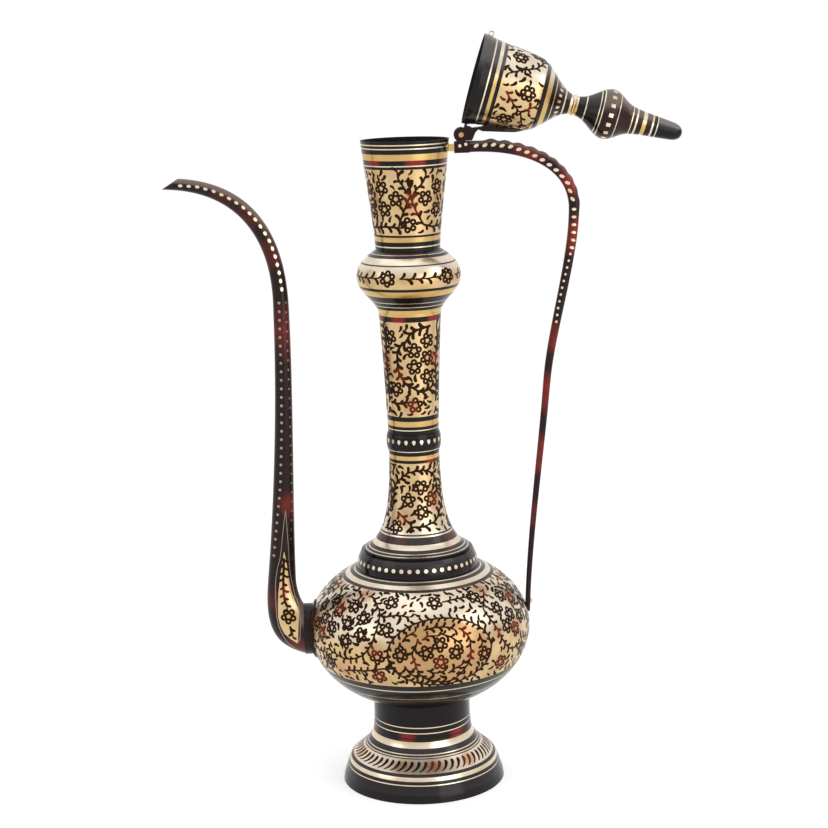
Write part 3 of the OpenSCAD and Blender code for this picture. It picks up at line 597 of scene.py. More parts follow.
def turned_mesh(name, rings, closed, stand):
    """A closed mesh that turns rings round the axis, with a material slot for each finish."""
    finishes = list(dict.fromkeys(ring.finish for ring in rings))
    n = ROUND_STEPS
    turns = [(cos(2 * pi * k / n), sin(2 * pi * k / n)) for k in range(n)]
    verts = [(ring.radius * c, ring.radius * s, ring.height) for ring in rings for c, s in turns]
    reds = [dab_at(ring.dabs, around) for ring in rings for around in FROM_FRONT]
    ways = [Vector((ring.out.x * c, ring.out.x * s, ring.out.y)) for ring in rings for c, s in turns]
    # How far each point faces upwards as the piece stands, for the painted reflection and the painted sheen.
    painted_light_shares = [facing_up((stand @ way).z) for way in ways]
    faces, uvs, slots = [], [], []
    girth = 2 * pi * max(ring.radius for ring in rings) / n
    for i in range(len(rings) if closed else len(rings) - 1):
        j = (i + 1) % len(rings)
        low, high = rings[i].along, rings[j].along
        for k in range(n):
            m = (k + 1) % n
            near, far = k * girth, k * girth + girth
            faces.append((i * n + k, i * n + m, j * n + m, j * n + k))
            uvs += [(near, low), (far, low), (far, high), (near, high)]
            slots.append(finishes.index(rings[i].finish))
    if not closed:
        for at_top, ring in ((False, rings[0]), (True, rings[-1])):
            start = (len(rings) - 1) * n if at_top else 0
            pole = len(verts)
            verts.append((0, 0, ring.height))
            reds.append(0)
            painted_light_shares.append(0)
            for k in range(n):
                m = (k + 1) % n
                faces.append((start + k, start + m, pole) if at_top else (pole, start + m, start + k))
                uvs += [(0, 0)] * 3
                slots.append(finishes.index(ring.finish))
    mesh = bpy.data.meshes.new(name)
    mesh.from_pydata(verts, [], faces)
    for finish in finishes:
        mesh.materials.append(FINISH[finish])
    mesh.polygons.foreach_set("material_index", slots)
    layer = mesh.uv_layers.new(name="turning")
    layer.data.foreach_set("uv", [x for uv in uvs for x in uv])
    hold(mesh, "red", reds)
    hold(mesh, "painted_light_share", painted_light_shares)
    mesh.shade_smooth()
    mesh.set_sharp_from_angle(angle=SHARP_EDGE)
    return mesh


print("each ring has", ROUND_STEPS, "points")


# %% [markdown]
# ## Vessel
# Foot, drum, two bowls, collar, neck, knop and cup are turned one by one. A line of words for each piece
# gives its bands from the foot of the wall up: a finish, then how far it goes in millimetres, and the last
# goes to the top. Dabs of red are a height on the wall, degrees from the front, and half their width in
# degrees.

# %% Vessel
OPEN_LID = CLOSE_LID.inverted()
PLAIN = ("stem_drum", "shoulder_collar", "neck_ring")
BANDS = {
    "foot": "black 10.2 pale 10.8 black 12.8 brass 15.2 black 17.3 field 27 black 27.7 brass 28.3 black 29.5 "
            "pale 30.1 black 33.4 brass 37.2 black",
    "stem_drum": "black 2.6 pale 3.2 black 5.9 pale 6.5 black",
    # On the lower bowl, the band from 25.9 to 27.3 mm is a real cut line, made pale partly as a painted
    # reflection of the floor.
    "lower_bowl": "black 25.9 pale 27.3 black 35.1 pale 36.3 black 40.4 field",
    "upper_bowl": "field 39.7 black 41.9 pale 45.3 black 47.8 pale 48.6 black",
    "shoulder_collar": "black",
    "lower_neck": "black 2 pale 2.6 black 4.3 pale 4.9 black 7.4 brass 10.8 black 15.4 pale 16.3 black 17.2 "
                  "field 58.7 black 60.5 brass 63 black",
    "neck_ring": "black 0.3 pale 0.9 black",
    "upper_neck": "black 2.4 pale 3 black 4.8 brass 8 black 10.7 field 66.3 black 69.3 brass",
    "neck_bulb": "brass 2.3 black 4.2 pale 4.9 black 7.4 pale 8.2 black 12.8 brass 17.4 black 19.1 "
                 "field 32.5 black 33.4 brass 38.2 black 40.6 pale 41.2 black",
    "mouth_cup": "black 2.3 pale 3 black 5.5 brass 8.3 black 9.5 field 47 black 48.5 pale 49.2 black 52 "
                 "brass 55.6 black 58.2 pale 58.9 black 60.3 pale 61 black",
}
DABS = {
    "foot": [(38.3, -19, 14), (38.3, 43, 14)],
    "stem_drum": [(1.5, -19, 14), (1.5, 43, 14)],
    "upper_bowl": [(40.8, 38, 10), (40.8, -40, 8)],
    "lower_neck": [(13, -27, 15), (13, 58, 18), (6, 49, 10), (59.5, 38, 22)],
    "upper_neck": [(68, -24, 20), (68, 48, 18)],
    "mouth_cup": [(50.5, -50, 18), (50.5, 14, 20)],
}


def hand_over(name, mesh, body, node=None):
    """Makes a mesh a finished piece of a body, which may stand for a node."""
    piece = new_object(name, mesh)
    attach(piece, body)
    if node:
        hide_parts(node)
    print(name, len(mesh.polygons), "faces")
    return piece


def turn(node, bands, hidden, slot, dabs=()):
    """Turns a node again with its bands, as a piece that stands for it."""
    body, stand = ("lid", OPEN_LID) if node in LID else ("vessel", Matrix())
    rings = banded_rings(node, bands, hidden, dabs)
    mesh = turned_mesh(node + "_turned", rings, outlines[node][1], stand.to_3x3())
    mesh.transform(stand)
    hand_over(node + "_turned", mesh, body, node)


def bands_mm(text):
    """Bands from a line of words, as (finish, how far it goes)."""
    words = [*text.split(), "inf"]
    return [(finish, float(high) * MM) for finish, high in zip(words[::2], words[1::2])]


for node in VESSEL:
    hidden = "inside" if node == "mouth_cup" else "black"
    slot = "black_lacquer" if node in PLAIN else "inlaid_brass"
    turn(node, bands_mm(BANDS[node]), hidden, slot, DABS.get(node, ()))

# %% [markdown]
# ## Lid
# The lid's bell and finial are turned in the same way. Their bands were read off along the lid's axis, so
# these lines give heights above the rim, and each is changed to a length along the wall.

# %% Lid
LID_BANDS = {
    "lid_bell": "sheen 6.9 pale 7.7 sheen 10.3 brass 12.3 sheen 14.4 field 38.4 sheen 40.9 brass 43.8 "
                "sheen 46 pale 46.5 brown 52.5 pale 53.3 sheen 56.2 brass",
    "waist_ring": "brass",
    "finial_bulb": "brass 60.8 black 65 pale 65.6 black 72.3 pale 72.8 black 74 pale 74.6 "
                   "brown 83.5 pale 84 brown",
    "finial_spire": "brown 92 pale 92.6 brown 94.5 pale 95.5 brown 98.5 brass 100.8 brown 104 pale 105 "
                    "black 107 pale 107.5 tip",
}
LID_HIDDEN = {"lid_bell": "inside", "waist_ring": "brass"}
LID_SLOTS = {"lid_bell": "inlaid_brass", "waist_ring": "plain_brass"}


def along_wall(line, height):
    """The length along a wall, which rises all the way, at which it reaches a height."""
    lengths = lengths_along(line)
    for i in range(1, len(line)):
        if line[i].y >= height:
            share = (height - line[i - 1].y) / (line[i].y - line[i - 1].y)
            return lengths[i - 1] + share * (lengths[i] - lengths[i - 1])
    return lengths[-1]


rim_height = smooth["lid_bell"][0].y
for node in LID:
    heights = bands_mm(LID_BANDS[node])
    bands = [(finish, along_wall(smooth[node], rim_height + high)) for finish, high in heights]
    turn(node, bands, LID_HIDDEN.get(node, "black"), LID_SLOTS.get(node, "black_lacquer"))

# %% [markdown]
# ## Medallions and stains
# Three oval medallions lie round the belly, and their ground is a deeper gold. Elsewhere the red lacquer
# has stained the brass a little way round it. The pieces hold both as one number at each point, worked out
# from how far the point lies from the middle of the nearest oval or stain, because no pattern in the
# material alone could follow the drawing. Middles are degrees from the front and millimetres up, and
# reaches are millimetres.

# %% Medallions and stains
BELLY_FIELD = 40.4 * MM
OVAL_MIDDLE = (11, 21.5)
OVAL_HALF = (27.5, 20.5)
OVAL_RIM = 1.1
OVAL_SLOPE = 5
STAIN_SHARE = 0.75
STAIN_SLOPE = 1.6
belly_line = smooth["lower_bowl"] + smooth["upper_bowl"][1:]
belly_stains = [(59, 27, 9), (-23, 23, 9), (68, 44, 9), (44, 28, 8), (-44, 7, 9), (-22, 7, 8), (46, 9, 9),
                (-38, 55, 7), (47, 55, 8)]
STAINS = {
    "foot": [(-21, 22.2, 6), (9.5, 22.2, 6), (44, 22.2, 6)],
    "lower_bowl": belly_stains,
    "upper_bowl": belly_stains,
    "lower_neck": [(-27, 27, 9), (44, 38, 10)],
    "upper_neck": [(-28, 36, 9), (56, 44, 11), (-1, 17, 8)],
    "mouth_cup": [(8, 29, 11), (-58, 30, 9)],
}


def oval_at(degrees_round, up):
    """1 inside a medallion, and 0 outside it, with a soft edge."""
    across = from_middle(degrees_round, OVAL_MIDDLE[0]) / OVAL_HALF[0]
    rise = (up / MM - OVAL_MIDDLE[1]) / OVAL_HALF[1]
    return clamp(OVAL_SLOPE * (OVAL_RIM - hypot(across, rise)))


def stain_at(stains, degrees_round, up, radius):
    """How stained the ground is: most in the middle of a stain, and 0 at its reach."""
    away = [hypot(radians(from_middle(degrees_round, at)) * radius / MM, up / MM - high) / reach
            for at, high, reach in stains]
    return STAIN_SHARE * clamp(STAIN_SLOPE * (1 - min(away)))


for node, stains in STAINS.items():
    mesh = bpy.data.objects[node + "_turned"].data
    on_belly = stains is belly_stains
    line, foot = (belly_line, BELLY_FIELD) if on_belly else (smooth[node], 0)
    amber = []
    for ring in range(0, len(mesh.vertices), ROUND_STEPS):
        x, y, z = mesh.vertices[ring].co
        up = along_wall(line, z) - foot
        for around in FROM_FRONT:
            share = stain_at(stains, around, up, hypot(x, y))
            amber.append(max(share, oval_at(around, up)) if on_belly else share)
    hold(mesh, "amber", amber[:len(mesh.vertices)])
    print(node, sum(share > 0.5 for share in amber), "amber points")

# %% [markdown]
# ## Motifs of the inlay
# The maker draws flowers, leaves and buds from a few punches and cutter strokes. Each motif is a thin
# closed plate in its own flat drawing, made of rows of points: a petal is a small ring, and a leaf is a
# comma with its thin end on the stem. They have few faces, because they are repeated hundreds of times.

# %% Motifs of the inlay
PLATE = 0.16 * MM
PETAL_SIDES = 8
PETAL_RADIUS = 2.0
PETAL_HOLE = 0.58
LEAF = [(0, 0, 0.50), (1.3, 0.25, 0.60), (2.5, 0.95, 0.82), (3.3, 1.9, 1.02), (3.6, 2.9, 0.98),
        (3.55, 3.6, 0.45)]
SPRIG = [(-2.1, -1.0, 0.4), (-1.2, -0.8, 0.6), (-0.1, -0.35, 0.85), (0.75, 0.4, 1.02), (1.2, 1.25, 0.95),
         (1.3, 1.9, 0.45)]
BUD = [[(-0.5, -0.6), (0, -0.7), (0.5, -0.6)], [(-1.5, 0.8), (0, 0.8), (1.5, 0.8)],
       [(-2.0, 2.4), (0, 2.2), (2.0, 2.4)], [(-1.9, 4.2), (0, 4.6), (1.9, 4.2)]]


def plate(name, rows, looped=False):
    """A thin closed plate from rows of points in millimetres; looped rows leave a hole in the middle."""
    made = bmesh.new()
    low, high = ([[made.verts.new((x * MM, y * MM, z)) for x, y in row] for row in rows]
                 for z in (-PLATE / 2, PLATE / 2))
    count, last = len(rows[0]), len(rows) - 1
    for a in range(last):
        for k in range(count if looped else count - 1):
            m = (k + 1) % count
            made.faces.new((high[a][k], high[a][m], high[a + 1][m], high[a + 1][k]))
            made.faces.new((low[a + 1][k], low[a + 1][m], low[a][m], low[a][k]))
    if looped:
        rims = [[(0, k) for k in range(count)], [(last, k) for k in range(count)]]
    else:
        rims = [[(0, k) for k in range(count)] + [(a, count - 1) for a in range(1, last)]
                + [(last, k) for k in reversed(range(count))] + [(a, 0) for a in range(last - 1, 0, -1)]]
    for rim in rims:
        for (a, k), (b, m) in zip(rim, rim[1:] + rim[:1]):
            made.faces.new((low[a][k], low[b][m], high[b][m], high[a][k]))
    bmesh.ops.recalc_face_normals(made, faces=made.faces)
    mesh = bpy.data.meshes.new(name)
    made.to_mesh(mesh)
    made.free()
    return new_object(name, mesh)


def circle(radius, sides):
    """Points round a circle."""
    return [(radius * cos(2 * pi * i / sides), radius * sin(2 * pi * i / sides)) for i in range(sides)]


def stroke(spine, across=1, flip=1):
    """The rows of a cutter's stroke along a spine of (x, y, half width) points."""
    rows = []
    for i, (x, y, half) in enumerate(spine):
        ahead, back = spine[min(i + 1, len(spine) - 1)], spine[max(i - 1, 0)]
        way = Vector((ahead[0] - back[0], ahead[1] - back[1])).normalized()
        sides = [half * (2 * k / across - 1) for k in range(across + 1)]
        rows.append([(x - s * way.y, flip * (y + s * way.x)) for s in sides])
    return rows


petal_rows = [circle(PETAL_RADIUS, PETAL_SIDES), circle(PETAL_HOLE, PETAL_SIDES)]
motifs = {
    "Petal": plate("petal", petal_rows, looped=True),
    "Left leaf": plate("left_leaf", stroke(LEAF)),
    "Right leaf": plate("right_leaf", stroke(LEAF, flip=-1)),
    "Bud": plate("bud", BUD),
    "Dot": plate("sprig", stroke(SPRIG)),
}
print("motifs:", ", ".join(f"{name} {len(motif.data.polygons)} faces" for name, motif in motifs.items()))

# %% [markdown]
# ## Trees of nodes
# A drawing goes through two trees of Geometry Nodes: one grows plates from it, and one lays the plates onto
# the metal. Each tree has named inputs for its sizes, and ends as real plates in one finish. These helpers
# build the parts that all three trees share.


# %% Trees of nodes
def new_tree(name, geometry, **inputs):
    """A tree with a geometry input, other inputs named by kind, and an output; and its inputs' sockets."""
    made = bpy.data.node_groups.new(name, "GeometryNodeTree")
    made.is_modifier = True
    for kind, sockets in {"Geometry": [geometry], **inputs, "Material": ["Finish"]}.items():
        for socket in sockets:
            made.interface.new_socket(socket, in_out="INPUT", socket_type="NodeSocket" + kind)
    made.interface.new_socket("Plates", in_out="OUTPUT", socket_type="NodeSocketGeometry")
    return made, add(made, "NodeGroupInput").outputs


def geo(kind, inputs=None, **settings):
    """The first output of a node in the tree at hand."""
    return add(tree, kind, inputs, **settings).outputs[0]


def axes(vector):
    """The X, Y and Z of a vector."""
    return add(tree, "ShaderNodeSeparateXYZ", {0: vector}).outputs


def combined(x=0.0, y=0.0, z=0.0):
    """A vector from its X, Y and Z."""
    return geo("ShaderNodeCombineXYZ", {0: x, 1: y, 2: z})


def stored(name, kind="FLOAT"):
    """What points keep under a name."""
    return geo("GeometryNodeInputNamedAttribute", {"Name": name}, data_type=kind)


def kept(geometry, name, value, kind="FLOAT"):
    """Geometry whose points keep a value under a name."""
    return geo("GeometryNodeStoreNamedAttribute", {"Geometry": geometry, "Name": name, "Value": value},
               data_type=kind, domain="POINT")


def shape_of(name):
    """The geometry of an object that the tree is given."""
    return add(tree, "GeometryNodeObjectInfo", {"Object": given[name]}).outputs["Geometry"]


def moved(geometry, place):
    """Geometry with its points set to a place."""
    return geo("GeometryNodeSetPosition", {"Geometry": geometry, "Position": place})


def without(geometry, points):
    """Geometry without some of its points."""
    return geo("GeometryNodeDeleteGeometry", {"Geometry": geometry, "Selection": points}, domain="POINT")


def end_tree(geometry):
    """Ends the tree: real plates, in their finish."""
    real = geo("GeometryNodeRealizeInstances", {0: geometry})
    done = geo("GeometryNodeSetMaterial", {"Geometry": real, "Material": given["Finish"]})
    add(tree, "NodeGroupOutput", {"Plates": done})
    print(tree.name, "tree:", len(tree.nodes), "nodes")
    return tree


# %% [markdown]
# ## Plates from a drawing
# Vines are drawn flat, as on an unrolled sheet. One tree grows the plates from a drawing. Its edges become
# stems, with leaves to the left and right in turn, which keep clear of the flowers. A leaf, a flower or a
# dot is set as a copy of its motif, and every plate remembers its own centre, so that it can be laid
# without being stretched.

# %% Plates from a drawing
STEM, FLOWER, BUD_POINT, DOT, RED = range(5)
STEM_STEP = 0.5 * MM
FLOWER_CLEAR = 1.8
LEAF_SWAY = 0.2
LEAF_GROWTH = (0.85, 1.15)
tree, given = new_tree(
    "plates", "Drawing", Object=["Petal", "Left leaf", "Right leaf", "Bud", "Dot"], Int=["Petals"],
    Float=["Stem width", "Leaf spacing", "Leaf size", "Flower radius", "Sheet width", "Sheet left",
           "Field foot", "Field height", "Sprig spacing"])
order = geo("GeometryNodeInputIndex")


def of_kind(kind):
    """The drawing's points of one kind."""
    pair = {2: stored("kind", "INT"), 3: kind}
    match = geo("FunctionNodeCompare", pair, data_type="INT", operation="EQUAL")
    return geo("GeometryNodeSeparateGeometry", {0: given["Drawing"], 1: match}, domain="POINT")


def random(low, high, seed):
    """A random number for each point."""
    limits = {2: low, 3: high, "ID": order, "Seed": seed}
    return add(tree, "FunctionNodeRandomValue", limits, data_type="FLOAT").outputs[1]


def with_centre(geometry):
    """Marks each point's own place, which its plates keep as their centre."""
    return kept(geometry, "centre", geo("GeometryNodeInputPosition"), "FLOAT_VECTOR")


def set_on(points, motif, turn=0.0, scale=(1, 1, 1), choice=True):
    """Sets a motif on points, turned in the plane of the drawing."""
    return geo("GeometryNodeInstanceOnPoints", {
        "Points": points, "Instance": motif, "Rotation": combined(z=turn), "Scale": scale,
        "Selection": choice})


def cleared(points, target, elements, distance):
    """Points that keep a distance from a target, or all of them if the target is empty."""
    near = add(tree, "GeometryNodeProximity", {0: target}, target_element=elements).outputs
    limits = {0: near["Distance"], 1: distance}
    close = geo("FunctionNodeCompare", limits, data_type="FLOAT", operation="LESS_THAN")
    return without(points, geo("FunctionNodeBooleanMath", {0: near["Is Valid"], 1: close}, operation="AND"))


flowers = of_kind(FLOWER)
lines = geo("GeometryNodeMeshToCurve", {"Mesh": given["Drawing"]})
lines = geo("GeometryNodeCurveSplineType", {"Curve": lines}, spline_type="CATMULL_ROM")
lines = geo("GeometryNodeResampleCurve", {"Curve": lines, "Length": STEM_STEP}, mode="LENGTH")
level = geo("GeometryNodeSetCurveNormal", {"Curve": lines}, mode="Z_UP")
strip = geo("GeometryNodeCurvePrimitiveQuadrilateral", {"Width": given["Stem width"], "Height": PLATE})
stems = geo("GeometryNodeCurveToMesh", {"Curve": level, "Profile Curve": strip, "Fill Caps": True})

spaced = {"Curve": lines, "Length": given["Leaf spacing"]}
stations = add(tree, "GeometryNodeCurveToPoints", spaced, mode="LENGTH").outputs
tangent = axes(stations["Tangent"])
sprouts = kept(stations["Points"], "heading", calc(tree, "ARCTAN2", tangent[1], tangent[0]))
room = calc(tree, "MULTIPLY", given["Flower radius"], FLOWER_CLEAR)
sprouts = with_centre(cleared(sprouts, flowers, "POINTS", room))
swayed = calc(tree, "ADD", stored("heading"), random(-LEAF_SWAY, LEAF_SWAY, seed=3))
grown = calc(tree, "MULTIPLY", given["Leaf size"], random(*LEAF_GROWTH, seed=5))
odd = calc(tree, "MODULO", order, 2.0)
left = set_on(sprouts, shape_of("Left leaf"), swayed, grown, calc(tree, "SUBTRACT", 1.0, odd))
right = set_on(sprouts, shape_of("Right leaf"), swayed, grown, odd)
print("stems and leaves:", len(tree.nodes), "nodes")

# %% [markdown]
# ### Flowers, buds and sprigs
# A flower is a ring of petals round each flower point. Buds and dots are single plates, turned as the
# drawing says. Small sprigs fill the ground that is left, as on the ewer, where hardly a spot stays empty:
# they are scattered at a least spacing over the whole sheet, and those too near to a flower, a bud or a
# stem go again.

# %% Flowers, buds and sprigs
FULL_TURN = 6.28
DENSE = 2e6
SPRIG_REACH = 2.9 * MM
SPRIG_GROWTH = (0.75, 1.05)
BUD_CLEAR = 4.2 * MM
STEM_CLEAR = 3.0 * MM
ring = geo("GeometryNodeMeshCircle", {"Vertices": given["Petals"], "Radius": given["Flower radius"]})
whorl = geo("GeometryNodeRealizeInstances", {0: set_on(ring, shape_of("Petal"))})
blooms = set_on(with_centre(flowers), whorl, random(0.0, FULL_TURN, seed=7))
facing = stored("facing")
buds = set_on(with_centre(of_kind(BUD_POINT)), shape_of("Bud"), facing)
dots = set_on(with_centre(of_kind(DOT)), shape_of("Dot"), facing)

sheet = geo("GeometryNodeMeshGrid", {"Size X": given["Sheet width"], "Size Y": given["Field height"],
                                     "Vertices X": 2, "Vertices Y": 2})
sheet_middle = combined(calc(tree, "MULTIPLY_ADD", given["Sheet width"], 0.5, given["Sheet left"]),
                        calc(tree, "MULTIPLY_ADD", given["Field height"], 0.5, given["Field foot"]))
sheet = geo("GeometryNodeSetPosition", {"Geometry": sheet, "Offset": sheet_middle})
scatter = geo("GeometryNodeDistributePointsOnFaces", {"Mesh": sheet, "Distance Min": given["Sprig spacing"],
                                                      "Density Max": DENSE, "Seed": 11},
              distribute_method="POISSON")
room = calc(tree, "ADD", given["Flower radius"], SPRIG_REACH)
scatter = cleared(scatter, flowers, "POINTS", room)
scatter = cleared(scatter, of_kind(BUD_POINT), "POINTS", BUD_CLEAR)
scatter = with_centre(cleared(scatter, stems, "FACES", STEM_CLEAR))
sprigs = set_on(scatter, shape_of("Dot"), random(0.0, FULL_TURN, seed=13), random(*SPRIG_GROWTH, seed=17))
print("with flowers, buds and sprigs:", len(tree.nodes), "nodes")

# %% [markdown]
# ### Red patches
# Here and there the maker filled the cuts with red instead of black. The drawing marks the middles of such
# patches, and each plate holds how near it lies to one, for the lacquer to read.

# %% Red patches
RED_REACH = 5.2 * MM
RED_FADE = 2.4 * MM
all_plates = add(tree, "GeometryNodeJoinGeometry")
for part in (with_centre(stems), left, right, blooms, buds, dots, sprigs):
    tree.links.new(part, all_plates.inputs[0])
flat = geo("GeometryNodeRealizeInstances", {0: all_plates.outputs[0]})
patch = add(tree, "GeometryNodeProximity", {0: of_kind(RED)}, target_element="POINTS").outputs
inside = calc(tree, "DIVIDE", calc(tree, "SUBTRACT", RED_REACH, patch["Distance"]), RED_FADE)
inside = geo("ShaderNodeClamp", {0: calc(tree, "MULTIPLY", inside, patch["Is Valid"])})
plates_tree = end_tree(kept(flat, "red", inside))

# %% [markdown]
# ## Rolling a sheet onto a wall
# A second tree rolls the flat sheet up. Across the sheet is the way round the wall, and up is the length
# along it. Each plate keeps its own shape round its centre, while the wall's outline, sampled by length,
# gives radius, height and slope.

# %% Rolling a sheet onto a wall
tree, given = new_tree("roll", "Sheet", Object=["Wall"], Float=["Radius", "Lift"])
wall_line = shape_of("Wall")


def wall_at(length):
    """The wall's radius and height at a length along it, and its way outwards and upwards."""
    sample = {"Curves": wall_line, "Length": length}
    found = add(tree, "GeometryNodeSampleCurve", sample, mode="LENGTH").outputs
    point = axes(found["Position"])
    way = axes(found["Tangent"])
    return point[0], point[2], way[0], way[2]


def proud_of(spot):
    """How far a point of the sheet stands out of the surface."""
    return calc(tree, "ADD", calc(tree, "SUBTRACT", spot[2], PLATE / 2), given["Lift"])


middle = axes(stored("centre", "FLOAT_VECTOR"))
spot = axes(geo("GeometryNodeInputPosition"))
aside = calc(tree, "DIVIDE", calc(tree, "SUBTRACT", spot[0], middle[0]), wall_at(middle[1])[0])
round_angle = calc(tree, "ADD", calc(tree, "DIVIDE", middle[0], given["Radius"]), aside)
angle = calc(tree, "SUBTRACT", round_angle, pi / 2)
radius, height, way_out, way_up = wall_at(spot[1])
proud = proud_of(spot)
radius = calc(tree, "MULTIPLY_ADD", proud, way_up, radius)
height = calc(tree, "MULTIPLY_ADD", proud, calc(tree, "MULTIPLY", way_out, -1.0), height)
rolled = combined(calc(tree, "MULTIPLY", radius, calc(tree, "COSINE", angle)),
                  calc(tree, "MULTIPLY", radius, calc(tree, "SINE", angle)), height)
roll_tree = end_tree(moved(given["Sheet"], rolled))

# %% [markdown]
# ## Pressing a sheet onto a side
# Spout and handle aren't turned, so a third tree presses a sheet onto their two sides. It sends a ray from
# each point of the sheet, across the ewer, and sets the point where the ray meets the surface. The far side
# is the same drawing seen in a mirror, so its faces are turned round.

# %% Pressing a sheet onto a side
RAY_START = 60 * MM
tree, given = new_tree("press", "Sheet", Object=["Surface"], Float=["Lift"])
spot = axes(geo("GeometryNodeInputPosition"))
target = shape_of("Surface")
proud = proud_of(spot)


def pressed(side):
    """The sheet on one side of the surface: -1 is the front, and 1 the back."""
    ray = {"Target Geometry": target, "Source Position": combined(spot[0], side * RAY_START, spot[1]),
           "Ray Direction": (0, -side, 0), "Ray Length": 2 * RAY_START}
    hit = add(tree, "GeometryNodeRaycast", ray).outputs
    out = geo("ShaderNodeVectorMath", {0: hit["Hit Normal"], "Scale": proud}, operation="SCALE")
    spread = geo("ShaderNodeVectorMath", {0: hit["Hit Position"], 1: out}, operation="ADD")
    missed = geo("FunctionNodeBooleanMath", {0: hit["Is Hit"]}, operation="NOT")
    return moved(without(given["Sheet"], missed), spread)


both = add(tree, "GeometryNodeJoinGeometry")
tree.links.new(pressed(-1), both.inputs[0])
tree.links.new(geo("GeometryNodeFlipFaces", {"Mesh": pressed(1)}), both.inputs[0])
press_tree = end_tree(both.outputs[0])

# %% [markdown]
# ## Drawings
# A drawing is a mesh of points and edges without faces, which a tree can read. On cup, neck and belly each
# drawing holds a third of the way round and is repeated three times, as what shows of the pattern suggests;
# the lid repeats its own twice, and the knop five times. Places are degrees from the front and millimetres
# above the lower edge of the field.


# %% Drawings
def drawing(name, spread, foot, stems=(), flowers=(), buds=(), dots=(), reds=(), repeats=3):
    """A flat drawing as a mesh: edges are stems, and single points are flowers, buds, dots or red patches."""
    points, edges, kinds, turns = [], [], [], []

    def put(spot, kind, shift, turn=0.0):
        points.append(((spot[0] + shift) * spread, foot + spot[1] * MM, 0))
        kinds.append(kind)
        turns.append(turn)

    for shift in (360 * i / repeats for i in range(repeats)):
        for stem in stems:
            for i, spot in enumerate(stem):
                put(spot, STEM, shift)
                if i:
                    edges.append((len(points) - 2, len(points) - 1))
        for kind, group in ((FLOWER, flowers), (BUD_POINT, buds), (DOT, dots), (RED, reds)):
            for spot in group:
                put(spot, kind, shift, radians(spot[2]) if len(spot) > 2 else 0.0)
    mesh = bpy.data.meshes.new(name)
    mesh.from_pydata(points, edges, [])
    hold(mesh, "kind", kinds, "INT")
    hold(mesh, "facing", turns)
    return new_object(name, mesh)


# %% [markdown]
# ## From a drawing to a piece
# A drawing gets both trees as modifiers. Their inputs are set first, and then the result is taken as a
# plain mesh and handed over, so no modifier is left. What the lid carries is drawn as if it were closed,
# and opened with it.

# %% From a drawing to a piece
DEGREE = radians(1)
SPARE = ("centre", "heading", "kind", "facing")
PLATES = {"Stem width": 1.4 * MM, "Leaf spacing": 2.15 * MM, "Leaf size": 1.0, "Flower radius": 2.95 * MM,
          "Petals": 5, "Sprig spacing": 3.1 * MM}


def evaluated(holder):
    """The mesh that an object's modifiers make."""
    bpy.context.view_layer.update()
    return bpy.data.meshes.new_from_object(holder.evaluated_get(bpy.context.evaluated_depsgraph_get()))


def laid(name, sheet, body, slot, *steps):
    """A drawing taken through its trees, each with its inputs, and made a plain piece."""
    for tree, values in steps:
        modifier = sheet.modifiers.new(tree.name, "NODES")
        modifier.node_group = tree
        sockets = {item.name: item.identifier for item in tree.interface.items_tree if item.in_out == "INPUT"}
        for key, value in values.items():
            modifier[sockets[key]] = value
    mesh = evaluated(sheet)
    mesh.name = name
    for spare in SPARE:
        if spare in mesh.attributes:
            mesh.attributes.remove(mesh.attributes[spare])
    if body == "lid":
        mesh.transform(OPEN_LID)
    bpy.data.objects.remove(sheet)
    return hand_over(name, mesh, body)


def wall_curve(line):
    """A wall's line as a curve, radius along X and height along Z."""
    curve = bpy.data.curves.new("wall_guide", "CURVE")
    curve.dimensions = "3D"
    spline = curve.splines.new("POLY")
    spline.points.add(len(line) - 1)
    for point, (r, z) in zip(spline.points, line):
        point.co = (r, 0, z, 1)
    return new_object("wall_guide", curve)


def inlay(name, line, radius, foot, body="vessel", finish="vine", slot="black_lacquer", sizes=(), lift=0.0,
          **drawn):
    """Draws plates round a wall, on a sheet as wide as a ring of the given radius, and rolls them onto it."""
    sheet = drawing(name + "_drawing", DEGREE * radius, foot, **drawn)
    guide = wall_curve(line)
    grow = {**PLATES, "Finish": FINISH[finish], "Sheet left": -radians(THIRD / 2) * radius,
            "Sheet width": 2 * pi * radius, **motifs, **dict(sizes)}
    roll = {"Wall": guide, "Radius": radius, "Lift": lift, "Finish": FINISH[finish]}
    laid(name, sheet, body, slot, (plates_tree, grow), (roll_tree, roll))
    bpy.data.objects.remove(guide)


def stretch(foot, height):
    """The stretch of a wall, in millimetres, that sprigs fill."""
    return {"Field foot": foot * MM, "Field height": height * MM}


print("each plate is", round(PLATE / MM, 2), "mm thick")

# %% [markdown]
# ### Cup
# Tall sprays rise from the lower edge of the cup's field, with flowers beside them and a tulip bud at the
# top.

# %% Cup
inlay("cup_vines", smooth["mouth_cup"], radius=21.5 * MM, foot=9.5 * MM,
      sizes={**stretch(10.8, 35), "Leaf spacing": 2.6 * MM, "Leaf size": 0.92, "Stem width": 1.2 * MM},
      stems=[[(28, 6), (19, 11), (11, 17), (7, 22)], [(-14, 5), (-9, 10), (-2, 16), (5, 22)],
             [(8, 22), (15, 26), (24, 29.5), (29, 33.5)], [(4, 23), (-4, 28), (-10, 32), (-11, 35.5)],
             [(-54, 4.5), (-35, 5), (-14, 4.5)], [(28, 6), (47, 4.3), (66, 4.5)]],
      flowers=[(-39, 27), (-16, 21), (-37, 15), (3, 6), (30, 21), (52, 27), (54, 14)],
      buds=[(6, 27.5)], reds=[(7, 21), (12, 15)])

# %% [markdown]
# ### Upper neck
# One long vine climbs and swings from side to side, with a column of flowers in each bend.

